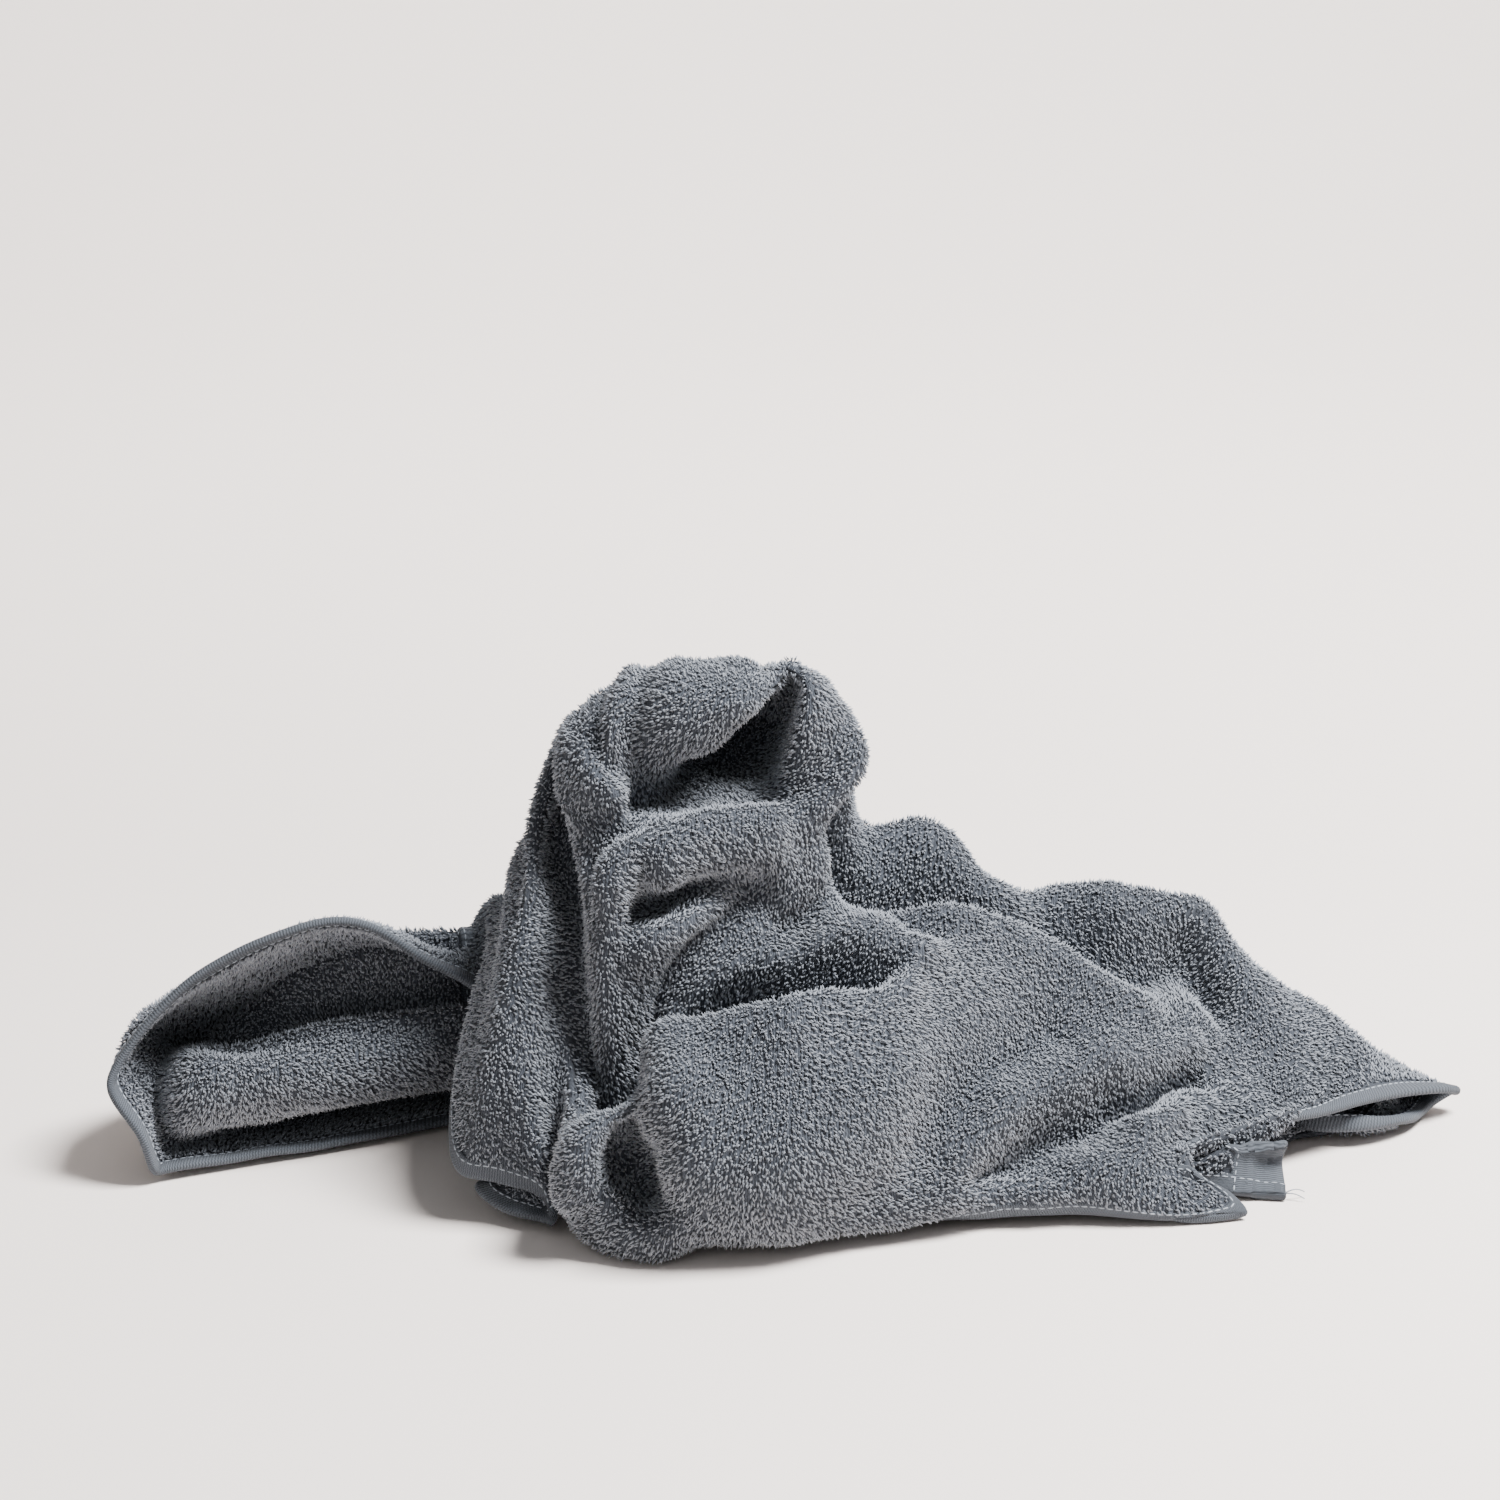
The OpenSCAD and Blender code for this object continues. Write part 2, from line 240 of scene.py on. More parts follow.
        (58, -8, 64, 196), (64, -8, 98, 130), (70, -8, 158, 36),
    ],
    81.5: [
        (0, 6, -127, 3), (3, 8, -155, 8), (7, 8, -167, 45), (11, 6, -142, 80), (15, 5, -106, 107),
        (18, 5, -80, 106), (21, 6, -56, 120), (24, 8, -42, 144), (26.5, 8, -44, 170), (28.5, 8, -36, 186),
        (31, 4, -24, 193), (33.5, 4, -24, 208), (36, 8, -22, 226), (38.5, 10, -15, 248), (41, 6, -2, 255),
        (44, 5, 18, 255), (50, 6, 50, 212), (55, 6, 78, 155), (61, 6, 118, 100), (66, 8, 156, 42),
        (70, 8, 174, 8),
    ],
    84.5: [
        (0, 28, -125, 3), (2.5, 30, -148, 8), (6.5, 30, -158, 45), (10.5, 28, -132, 80),
        (14.5, 26, -98, 106), (18, 25, -66, 110), (21, 26, -42, 126), (24, 27, -26, 152),
        (26.5, 28, -22, 178), (29, 42, -18, 200), (32, 42, -12, 214), (35, 36, 0, 231), (38.5, 26, 18, 240),
        (42, 19, 42, 229), (46, 16, 62, 188), (51, 22, 86, 140), (57, 24, 128, 90), (63, 24, 162, 30),
        (66, 24, 178, 5), (70, 26, 150, 4),
    ],
    88: [
        (0, 60, -118, 3), (2, 62, -138, 8), (6, 62, -144, 45), (10, 60, -117, 82), (14, 58, -87, 105),
        (18, 54, -54, 114), (21.5, 50, -20, 132), (24.5, 46, 8, 134), (27, 36, 22, 160), (30, 38, 32, 190),
        (33, 30, 42, 204), (37, 24, 60, 188), (41, 26, 76, 152), (46, 36, 104, 122), (52, 46, 142, 72),
        (57, 50, 172, 20), (60, 50, 180, 5), (65, 52, 140, 4), (70, 54, 90, 4),
    ],
    89.5: [
        (0, 74, -116, 3), (2.5, 74, -136, 15), (6.5, 72, -130, 52), (10.5, 69, -102, 86),
        (14.5, 66, -72, 106), (18.5, 63, -40, 118), (21.5, 59, -12, 129), (25, 52, 16, 118),
        (28.5, 44, 38, 130), (32, 38, 64, 138), (37, 38, 88, 138), (42, 44, 116, 110), (47, 52, 150, 62),
        (51, 56, 176, 10), (60, 60, 150, 4), (70, 64, 70, 4),
    ],
    91: [
        (0, 88, -115, 3), (3, 86, -134, 22), (7, 82, -118, 58), (11, 78, -90, 88), (15, 75, -60, 107),
        (19, 73, -30, 121), (22, 70, -6, 128), (25, 66, 18, 106), (28.5, 64, 46, 112), (32, 63, 74, 137),
        (37, 65, 108, 113), (42, 67, 142, 75), (47, 69, 170, 28), (50, 69, 180, 5), (60, 71, 130, 4),
        (70, 74, 50, 4),
    ],
    96: [
        (0, 136, -112, 4), (3, 128, -118, 22), (6, 120, -104, 44), (10, 116, -78, 70), (14, 113, -50, 92),
        (18, 111, -22, 110), (21, 110, 2, 115), (25, 110, 38, 98), (29, 112, 76, 112), (34, 114, 114, 90),
        (39, 116, 150, 55), (43.5, 118, 176, 8), (50, 90, 120, 5), (60, 60, 30, 5), (70, 40, -50, 5),
    ],
    105: [
        (0, 222, -112, 4), (4, 196, -104, 16), (8, 180, -84, 36), (12, 170, -60, 54), (16, 165, -34, 70),
        (20, 164, -4, 84), (24.5, 168, 38, 88), (29, 172, 76, 112), (34, 176, 112, 88), (39, 180, 140, 45),
        (43, 182, 160, 6), (50, 160, 100, 5), (60, 120, 10, 5), (70, 90, -55, 5),
    ],
    106.5: [
        (0, 233, -107, 6), (3, 208, -100, 16), (7, 186, -84, 34), (12, 178, -60, 50), (16, 173, -32, 66),
        (20, 172, -2, 80), (24.5, 176, 40, 88), (29, 180, 76, 111), (34, 184, 110, 88), (39, 188, 138, 45),
        (43, 190, 157, 6), (50, 170, 96, 5), (60, 132, 6, 5), (70, 102, -52, 5),
    ],
    108: [
        (0, 226, -98, 9), (3, 206, -95, 19), (7, 192, -82, 32), (12, 186, -58, 46), (16, 183, -30, 62),
        (20, 182, 0, 74), (24.5, 186, 42, 86), (29, 190, 76, 110), (34, 194, 108, 88), (39, 200, 136, 44),
        (42, 202, 153, 6), (49, 185, 92, 5), (60, 145, 2, 5), (70, 115, -48, 5),
    ],
    112: [
        (0, 194, -92, 14), (3, 202, -88, 24), (6, 206, -72, 27), (10, 206, -50, 36), (14, 206, -24, 50),
        (18, 206, 6, 60), (23, 208, 45, 82), (27, 212, 76, 106), (31, 216, 104, 88), (36, 220, 130, 40),
        (40, 222, 146, 6), (48, 212, 80, 5), (58, 175, 0, 5), (70, 140, -40, 5),
    ],
    120: [
        (0, 160, -66, 8), (5, 196, -74, 16), (10, 222, -56, 21), (14, 228, -34, 30), (18, 232, -6, 40),
        (22, 236, 28, 54), (26, 240, 62, 76), (29, 244, 82, 70), (33, 248, 106, 40), (37, 256, 122, 6),
        (46, 258, 56, 5), (56, 230, 10, 4), (70, 185, -15, 4),
    ],
    130: [
        (0, 214, -80, 5), (5, 222, -70, 24), (10, 226, -58, 22), (15, 240, -50, 24), (20, 262, -22, 29),
        (24, 275, 5, 34), (28, 286, 36, 44), (31, 293, 58, 44), (34.5, 298, 74, 22), (37.5, 304, 78, 6),
        (46, 312, 36, 4), (56, 290, 6, 4), (70, 230, 0, 4),
    ],
    140: [
        (0, 252, -84, 4), (3, 252, -62, 14), (5, 251, -66, 26), (6, 234, -50, 18), (10, 236, -50, 22),
        (13.5, 188, -76, 24), (16, 190, -80, 28), (21, 235, -52, 30), (26, 275, -25, 26), (31, 312, 2, 24),
        (35, 352, 36, 17), (36.5, 353, 42, 11), (38.5, 340, 38, 5), (42, 320, 4, 4), (45, 292, -10, 4),
        (49, 252, 8, 4), (60, 200, 5, 5), (70, 165, 5, 5),
    ],
}

# Each fold: its path over the marks, half width in marks, height in mm towards the face.
FOLDS = {
    "crescent dent": ([(75.7, 17.7), (78.5, 18.6), (82, 18.6), (85, 17.9), (86.8, 17)], 1.1, -19),
    "bulge lip": ([(73.5, 15.8), (77, 15.1), (81, 15.1), (85, 15.5), (88.5, 15.5)], 1.3, 9),
    "dent rim": ([(75.5, 19.5), (78.5, 20.5), (82, 20.7), (85.5, 20), (88.2, 18.8), (90.5, 17.2)], 0.9, 13),
    "behind rim": ([(80, 23), (84, 23), (88, 22), (91.2, 20.2)], 1, -9),
    "diag valley": ([(79, 24.5), (76.5, 22.5), (74.5, 20.5), (72.5, 19.2), (70.5, 17.8)], 0.9, -20),
    "diag ridge": ([(84, 25), (80.5, 23.7), (78, 22.4), (75.7, 20.7), (74, 18.8)], 0.8, 7),
    "dark pocket": ([(70.5, 16.8), (69, 16), (67.2, 15.3)], 1.4, -28),
    "lobe valley": ([(0, 23.5), (8, 23.2), (12, 23), (15, 22.2)], 1.1, 13),
    "lobe ridge": ([(0, 28.8), (8, 28.6), (12, 27.2), (15, 25.2)], 0.9, -11),
    "lobe slope": ([(0, 20.2), (8, 19.9), (12, 19.5), (14.5, 19)], 1.3, 9),
    "hanging fold": ([(66.5, 26), (67.2, 22.5), (68.5, 20), (69, 18.8)], 1.6, 9),
    "leg valley": ([(62.2, 22), (62.2, 18)], 0.9, -8),
    "snout hollow": ([(70, 10.6), (71.2, 8.5)], 1.3, -12),
    "snout roll": ([(68.4, 12.2), (67, 10.8), (66.2, 8.8), (67.5, 5.8), (70.5, 3.8), (74, 3)], 1.2, 12),
    "pillow edge": ([(73.8, 15), (74.6, 11.5), (75.4, 8)], 1.1, 13),
    "front crest": (
        [(84.5, 22.2), (88, 21.5), (92, 21.2), (96, 20.8), (100, 20.5), (104, 20), (108, 19.5)], 1.6, 9
    ),
    "back valley": (
        [(87, 25), (90, 25.5), (94, 25), (99, 24.5), (105, 24), (111, 23.5), (117, 23)], 1.8, -22
    ),
    "hollow": ([(86.8, 26.2), (90, 27.5), (91.5, 26.2)], 1.4, -24),
    "spur": ([(91.5, 34), (93, 31), (95, 28), (97.5, 26)], 1.2, 14),
    "dip": ([(96.5, 33.5), (97.5, 30)], 1.4, -9),
    "crease": ([(115, 14.7), (110, 13), (104, 10.5), (98.5, 7), (93.5, 3.5)], 1, -24),
    "crease lip": ([(113, 15.8), (109, 15), (103.5, 12.7), (98, 9.2), (93, 5.5)], 1.2, 8),
    "flap band": ([(110, 10), (105, 8), (100, 5)], 1.3, 6),
    "soft valley": ([(100, 13.5), (96, 10), (91.5, 7.5), (87, 5)], 2, -12),
    "soft ridge": ([(106, 16), (100, 11.5), (95.5, 8)], 1.3, 7),
    "belly": ([(77, 10), (81, 10), (85, 10)], 4, 5),
    "hood band": ([(70, 42), (73, 44), (77, 45.5)], 2.5, 3),
    "neck ridge": ([(62.5, 24), (63.5, 28), (64, 32)], 1.3, 4),
    "hood hollow": ([(76.5, 37), (79.5, 39.5)], 1.8, -14),
    "hood dent": ([(67.5, 34.6), (68.6, 36.2)], 1, -11),
    "neck crease": ([(71.5, 35.5), (70, 32.5), (68.2, 30), (66.8, 28.2), (65.2, 25)], 0.8, -17),
    "collar roll": ([(67.8, 26.2), (69, 28.5), (72, 29.2), (76, 29.2), (79, 28.5)], 1.3, 11),
    "pocket": ([(70, 24.9), (71.5, 25.5), (74.5, 25.5), (77, 25.2)], 0.7, -19),
    "pocket lip": ([(70, 23.2), (73, 23.8), (76.5, 23.8)], 0.9, 6),
}


# ---------------------------------------------------------------- sizes and colours


def size_setting(name, description, default):
    """A length that the user may change, in metres."""
    return bpy.props.FloatProperty(name=name, description=description, default=default, unit="LENGTH")


def colour_setting(name, description, default):
    """A colour that the user may change."""
    return bpy.props.FloatVectorProperty(
        name=name, description=description, default=default, size=3, subtype="COLOR"
    )


class TowelSizes(bpy.types.PropertyGroup):
    """Sizes of the towel before and after it is dropped"""

    flat_length: size_setting("Flat length", "Length of the towel laid flat", 1.3)
    flat_width: size_setting("Flat width", "Width of the towel laid flat", 0.65)
    cloth_thickness: size_setting(
        "Ground thickness", "Thickness of the woven ground between the loops", 2.4 * MM
    )
    loop_length: size_setting("Loop length", "How far a loop stands off", 3.9 * MM)
    loop_width: size_setting("Loop width", "Width of a loop at its fullest", 1.35 * MM)
    loop_count: bpy.props.IntProperty(
        name="Loops", description="Number of loops on the cloth that shows", default=255000, min=1000
    )
    side_hem_width: size_setting("Side hem width", "Width of the long hems", 10 * MM)
    end_hem_width: size_setting("End hem width", "Width of the woven end hems", 28 * MM)
    hem_thickness: size_setting("Hem thickness", "Thickness of a folded hem", 4.2 * MM)
    stitch_length: size_setting("Stitch length", "Length of one stitch", 3.2 * MM)
    stitch_pitch: size_setting("Stitch pitch", "Distance between stitches", 4.2 * MM)
    thread_width: size_setting("Thread width", "Thickness of the sewing thread", 0.9 * MM)


class TowelColours(bpy.types.PropertyGroup):
    """Colours of the cotton, the painted shade at the loop roots, the thread and the floor"""

    loop_tip: colour_setting("Loop tips", "Cotton at the tips", (0.3, 0.324, 0.368))
    # Painted shade: the loop root colour stands in for the shade deep in the pile; it colours the loop
    # roots and the ground cloth.
    loop_root_shade: colour_setting("Loop roots", "Painted shade between the loops", (0.055, 0.062, 0.076))
    woven: colour_setting("Flat weave", "Cotton of the hems", (0.082, 0.092, 0.108))
    thread: colour_setting("Thread", "Sewing thread", (0.3, 0.33, 0.375))
    floor: colour_setting("Floor", "Floor and backdrop", (0.93, 0.852, 0.803))


# ---------------------------------------------------------------- how the cloth lies


def smooth_line(stations, points, wanted):
    """A smooth line through points at rising stations, read at the wanted stations."""
    stations = np.asarray(stations, float)
    points = np.asarray(points, float)
    gaps = np.diff(stations)
    slopes = np.diff(points, axis=0) / gaps[:, None]
    lean = np.empty_like(points)
    lean[0] = slopes[0]
    lean[-1] = slopes[-1]
    after = gaps[1:, None]
    before = gaps[:-1, None]
    lean[1:-1] = (after * slopes[:-1] + before * slopes[1:]) / (after + before)
    i = np.clip(np.searchsorted(stations, wanted, side="right") - 1, 0, len(gaps) - 1)
    gap = gaps[i][:, None]
    s = (wanted - stations[i])[:, None] / gap
    s2 = s * s
    s3 = s2 * s
    return (
        (2 * s3 - 3 * s2 + 1) * points[i]
        + (s3 - 2 * s2 + s) * gap * lean[i]
        + (3 * s2 - 2 * s3) * points[i + 1]
        + (s3 - s2) * gap * lean[i + 1]
    )


def smoothed(field, times):
    """Evens out a field over the grid, a little each time."""
    for _ in range(times):
        wide = np.pad(field, [(1, 1), (1, 1), (0, 0)], mode="edge")
        around = wide[:-2, 1:-1] + wide[2:, 1:-1] + wide[1:-1, :-2] + wide[1:-1, 2:]
        field = (around + 2 * field) / 6
    return field


def unit(vectors):
    """The same directions, each with a length of one."""
    return vectors / np.maximum(np.linalg.norm(vectors, axis=-1, keepdims=True), 1e-12)


def face_normals(places):
    """The direction that the towel's face looks, at each point of the grid."""
    return unit(np.cross(np.gradient(places, axis=0), np.gradient(places, axis=1)))


def distance_to_path(long, wide, path):
    """How far each mark is from a path over the marks."""
    nearest = np.full(long.shape, np.inf)
    for (a, b), (c, d) in zip(path[:-1], path[1:]):
        span = (c - a) ** 2 + (d - b) ** 2
        t = np.clip(((long - a) * (c - a) + (wide - b) * (d - b)) / span, 0, 1)
        nearest = np.minimum(nearest, np.hypot(long - a - t * (c - a), wide - b - t * (d - b)))
    return nearest


def fold_heights(long, wide):
    """Height of all the folds, in metres towards the face."""
    height = np.zeros(long.shape)
    for path, half_width, tall in FOLDS.values():
        height += tall * MM * np.exp(-0.7 * (distance_to_path(long, wide, path) / half_width) ** 2)
    return height


def back_pleats(long, wide):
    """Pleats that run down the back and take up the cloth that is bunched there."""
    pitch = 6.2
    top_mark = 76
    sway = 0.6 * np.sin(0.07 * wide + 0.03 * long) + 0.25 * np.sin(0.31 * long)
    start = 41 + 13 * np.exp(-(((long - top_mark) / 17) ** 4))
    fade_in = np.clip((wide - start) / 8, 0, 1)
    fade_out = np.clip((70.5 - wide) / 6, 0, 1)
    height = 9 * MM + 7 * MM * np.clip((long - 20) / 20, 0, 1)
    return height * fade_in * fade_out * np.sin(2 * math.pi * (long / pitch + sway))


def soft_waves(long, wide):
    """Low waves that no cloth is without."""
    rng = np.random.default_rng(11)
    height = np.zeros(long.shape)
    longest = 9.0
    for _ in range(40):
        length = rng.uniform(3.0, longest)
        heading = rng.uniform(0, math.pi)
        phase = rng.uniform(0, 2 * math.pi)
        along = (long * math.cos(heading) + wide * math.sin(heading)) / length
        height += np.sin(2 * math.pi * along + phase) * length / longest
    return 0.22 * MM * height


def lay_towel(per_mark=2):
    """The whole towel as a grid of places in metres, per_mark points to a mark."""
    long = np.linspace(0, MARKS_LONG, MARKS_LONG * per_mark + 1)
    wide = np.linspace(0, MARKS_WIDE, MARKS_WIDE * per_mark + 1)
    keys = sorted(RIBS)
    ribs = [smooth_line([p[0] for p in RIBS[k]], [p[1:] for p in RIBS[k]], wide) for k in keys]
    flat = smooth_line(keys, np.reshape(ribs, (len(keys), -1)), long)
    places = flat.reshape(len(long), len(wide), 3) * MM
    places[..., 2] = np.maximum(places[..., 2], FLOOR_CLEARANCE)
    places = smoothed(places, 3)
    marks = np.meshgrid(long, wide, indexing="ij")
    heights = fold_heights(*marks) + back_pleats(*marks) + soft_waves(*marks) - LOOP_ROOM
    outward = unit(smoothed(face_normals(places), 6))
    places = smoothed(places + outward * heights[..., None], 2)
    places[..., 2] = np.maximum(places[..., 2], FLOOR_CLEARANCE)
    return places


# ---------------------------------------------------------------- making meshes


def start_clean():
    """Leaves edit mode and deselects everything, the CAD nodes among it."""
    if bpy.context.object and bpy.context.object.mode != "OBJECT":
        bpy.ops.object.mode_set(mode="OBJECT")
    bpy.ops.object.select_all(action="DESELECT")


def numbers(items, field, width, kind=np.float32):
    """Reads one field of a mesh's items as an array."""
    found = np.empty(len(items) * width, kind)
    items.foreach_get(field, found)
    return found.reshape(-1, width) if width > 1 else found


def new_grid(name, long_cells, wide_cells):
    """A plane cut in cells, and where on it each of its points lies, from 0 to 1 each way."""
    start_clean()
    bpy.ops.mesh.primitive_grid_add(x_subdivisions=long_cells, y_subdivisions=wide_cells, size=1)
    piece = bpy.context.object
    piece.name = name
    piece.data.name = name
    spot = numbers(piece.data.vertices, "co", 3)[:, :2] + 0.5
    i = np.rint(spot[:, 0] * long_cells).astype(int)
    j = np.rint(spot[:, 1] * wide_cells).astype(int)
    return piece, i, j


def move_points(piece, places):
    """Puts every point of a piece at its place."""
    piece.data.vertices.foreach_set("co", np.asarray(places, np.float32).ravel())
    piece.data.update()


def bake_spots(mesh, spots):
    """Gives a mesh the map that its patterns are baked through."""
    layer = mesh.uv_layers.get(BAKE_MAP) or mesh.uv_layers.new(name=BAKE_MAP, do_init=False)
    layer.uv.foreach_set("vector", np.clip(spots, 0, 1).astype(np.float32).ravel())


def wrapped_strip(name, rings, rows):
    """A closed strip through rings of points: a grid rolled round, welded and capped."""
    count, around = rings.shape[:2]
    piece, i, j = new_grid(name, count - 1, around)
    move_points(piece, rings[i, j % around])
    bpy.ops.object.mode_set(mode="EDIT")
    bpy.ops.mesh.select_all(action="SELECT")
    bpy.ops.mesh.remove_doubles(threshold=1e-7)
    bpy.ops.mesh.select_all(action="DESELECT")
    bpy.ops.mesh.select_non_manifold()
    bpy.ops.mesh.fill_holes(sides=0)
    bpy.ops.mesh.select_all(action="SELECT")
    bpy.ops.mesh.normals_make_consistent(inside=False)
    bpy.ops.object.mode_set(mode="OBJECT")
    bpy.ops.object.shade_smooth()
    mesh = piece.data
    mesh.uv_layers[0].name = THREAD_MAP
    spot = numbers(mesh.uv_layers[THREAD_MAP].uv, "vector", 2)
    first = numbers(mesh.polygons, "loop_start", 1, np.int32)
    total = numbers(mesh.polygons, "loop_total", 1, np.int32)
    lowest = np.repeat(np.minimum.reduceat(spot[:, 0], first), total)
    row = np.minimum((lowest * rows + 1e-4).astype(int), rows - 1)
    inset = 0.06
    edge = 0.005
    baked = np.empty_like(spot)
    baked[:, 0] = np.clip(spot[:, 0] * rows - row, 0, 1) * (1 - 2 * edge) + edge
    baked[:, 1] = (row + inset + spot[:, 1] * (1 - 2 * inset)) / rows
    bake_spots(mesh, baked)
    steps = np.linalg.norm(np.diff(rings.mean(1), axis=0), axis=1).sum()
    girth = np.linalg.norm(np.roll(rings, -1, 1) - rings, axis=2).sum(1).mean()
    spot *= np.array([steps, girth], np.float32)
    mesh.uv_layers[THREAD_MAP].uv.foreach_set("vector", spot.ravel())
    return piece


def scattered(name, pattern, places, turns, tones):
    """Copies a small pattern mesh to every place, turned and sized by its own matrix."""
    mesh = pattern.data
    points = numbers(mesh.vertices, "co", 3)
    corner = numbers(mesh.loops, "vertex_index", 1, np.int32)
    start = numbers(mesh.polygons, "loop_start", 1, np.int32)
    spot = numbers(mesh.uv_layers[0].uv, "vector", 2)
    height = (points[:, 2] - points[:, 2].min()) / np.ptp(points[:, 2])
    many = len(places)
    copies = np.einsum("nij,kj->nki", turns, points) + places[:, None]
    step = np.arange(many)[:, None]
    made = bpy.data.meshes.new(name)
    made.vertices.add(many * len(points))
    made.loops.add(many * len(corner))
    made.polygons.add(many * len(start))
    made.vertices.foreach_set("co", copies.astype(np.float32).ravel())
    made.loops.foreach_set("vertex_index", (corner + step * len(points)).ravel().astype(np.int32))
    made.polygons.foreach_set("loop_start", (start + step * len(corner)).ravel().astype(np.int32))
    made.polygons.foreach_set("use_smooth", np.ones(many * len(start), bool))
    side = math.ceil(math.sqrt(many))
    cell = np.stack([np.arange(many) % side, np.arange(many) // side], 1)
    margin = 0.08
    bake_spots(made, (cell[:, None] + margin + (1 - 2 * margin) * spot) / side)
    for label, values in (("tone", np.repeat(tones, len(points))), ("height", np.tile(height, many))):
        made.attributes.new(label, "FLOAT", "POINT").data.foreach_set("value", values.astype(np.float32))
    made.update(calc_edges=True)
    piece = bpy.data.objects.new(name, made)
    bpy.context.collection.objects.link(piece)
    return piece


def finish_piece(piece, material, node):
    """Gives a piece its finish and its body, and hides the CAD node that it stands for."""
    piece.data.materials.clear()
    piece.data.materials.append(material)
    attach(piece, "root")
    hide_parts(node)


# ---------------------------------------------------------------- materials


class NodeBoard:
    """Adds and links nodes in one tree."""

    def __init__(self, tree):
        self.tree = tree

    def add(self, kind, **settings):
        """A new node with its settings."""
        node = self.tree.nodes.new(kind)
        for key, value in settings.items():
            setattr(node, key, value)
        return node

    def join(self, source, target):
        """Feeds a socket from another node's output, or with a plain number or colour."""
        if isinstance(source, (int, float, tuple)):
            target.default_value = source
        else:
            self.tree.links.new(source, target)

    def maths(self, operation, *values):
        """The result of a sum on values or numbers."""
        node = self.add("ShaderNodeMath", operation=operation)
        for socket, value in zip(node.inputs, values):
            self.join(value, socket)
        return node.outputs[0]

    def tint(self, mode, factor, first, second):
        """Two colours mixed."""
        node = self.add("ShaderNodeMix", data_type="RGBA", blend_type=mode)
        for index, value in ((0, factor), (6, first), (7, second)):
            self.join(value, node.inputs[index])
        return node.outputs[2]

    def shaded(self, colour, gain):
        """A colour made lighter or darker by a value."""
        grey = self.add("ShaderNodeCombineColor")
        for socket in grey.inputs[:3]:
            self.join(gain, socket)
        return self.tint("MULTIPLY", 1.0, colour, grey.outputs[0])

    def noise(self, place, scale, detail=2.0):
        """Soft random patches."""
        node = self.add("ShaderNodeTexNoise")
        node.inputs["Scale"].default_value = scale
        node.inputs["Detail"].default_value = detail
        self.join(place, node.inputs["Vector"])
        return node.outputs["Fac"]

    def attribute(self, name):
        """A value that a piece's points carry."""
        return self.add("ShaderNodeAttribute", attribute_name=name).outputs["Fac"]

    def bump(self, shader, height, depth, strength=1.0):
        """Raises a shader's surface by a height."""
        node = self.add("ShaderNodeBump")
        node.inputs["Distance"].default_value = depth
        node.inputs["Strength"].default_value = strength
        self.join(height, node.inputs["Height"])
        self.join(node.outputs[0], shader.inputs["Normal"])


def new_group(name, inputs, outputs):
    """A shader node group with named sockets, its board, inputs and outputs."""
    tree = bpy.data.node_groups.new(name, "ShaderNodeTree")
    for label, kind, value in inputs:
        socket = tree.interface.new_socket(name=label, in_out="INPUT", socket_type=kind)
        if value is not None:
            socket.default_value = value
    for label, kind in outputs:
        tree.interface.new_socket(name=label, in_out="OUTPUT", socket_type=kind)
    board = NodeBoard(tree)
    return board, board.add("NodeGroupInput").outputs, board.add("NodeGroupOutput").inputs


def dye_group():
    """Cotton takes dye unevenly: broad soft patches and a fine grain."""
    found = bpy.data.node_groups.get("dye")
    if found:
        return found
    board, given, made = new_group(
        "dye",
        [("Colour", "NodeSocketColor", (0.2, 0.2, 0.2, 1)), ("Depth", "NodeSocketFloat", 0.2)],
        [("Colour", "NodeSocketColor"), ("Grain", "NodeSocketFloat")],
    )
    place = board.add("ShaderNodeTexCoord").outputs["Object"]
    grain = board.noise(place, 420.0)
    broad = board.maths("MULTIPLY_ADD", board.noise(place, 14.0, 3.0), 0.7, -0.5)
    both = board.maths("MULTIPLY_ADD", grain, 0.3, broad)
    swing = board.maths("MULTIPLY", both, given["Depth"])
    gain = board.maths("MULTIPLY_ADD", swing, 2.0, 1.0)
    board.join(board.shaded(given["Colour"], gain), made["Colour"])
    board.join(grain, made["Grain"])
    return board.tree


def weave_group():
    """Threads that cross over and under, as a height, read on a map in metres."""
    found = bpy.data.node_groups.get("weave")
    if found:
        return found
    board, given, made = new_group(
        "weave",
        [
            ("Place", "NodeSocketVector", None),
            ("Long pitch", "NodeSocketFloat", 1.2 * MM),
            ("Cross pitch", "NodeSocketFloat", 1.2 * MM),
        ],
        [("Height", "NodeSocketFloat")],
    )
    split = board.add("ShaderNodeSeparateXYZ")
    board.join(given["Place"], split.inputs[0])
    sway = board.maths("MULTIPLY", board.noise(given["Place"], 260.0), 2.2)
    turns = []
    for axis, pitch in (("X", "Long pitch"), ("Y", "Cross pitch")):
        count = board.maths("DIVIDE", split.outputs[axis], given[pitch])
        turns.append(board.maths("MULTIPLY_ADD", count, 2 * math.pi, sway))
    rib = board.maths("ABSOLUTE", board.maths("SINE", board.maths("MULTIPLY", turns[0], 0.5)))
    over = board.maths("MULTIPLY", board.maths("SINE", turns[0]), board.maths("SINE", turns[1]))
    board.join(board.maths("MULTIPLY_ADD", over, 0.35, rib), made["Height"])
    return board.tree


def new_material(name, roughness, sheen):
    """A cotton-like material, with its board and its Principled shader."""
    material = bpy.data.materials.new(name)
    material.use_nodes = True
    shader = material.node_tree.nodes["Principled BSDF"]
    shader.inputs["Roughness"].default_value = roughness
    shader.inputs["Specular IOR Level"].default_value = 0.2
    shader.inputs["Sheen Weight"].default_value = sheen
    shader.inputs["Sheen Roughness"].default_value = 0.5
    return material, NodeBoard(material.node_tree), shader


def put_group(board, tree, **values):
    """Places a node group with its own values; an underscore stands for a space."""
    node = board.add("ShaderNodeGroup", node_tree=tree)
    for label, value in values.items():
        board.join(value, node.inputs[label.replace("_", " ")])
    return node


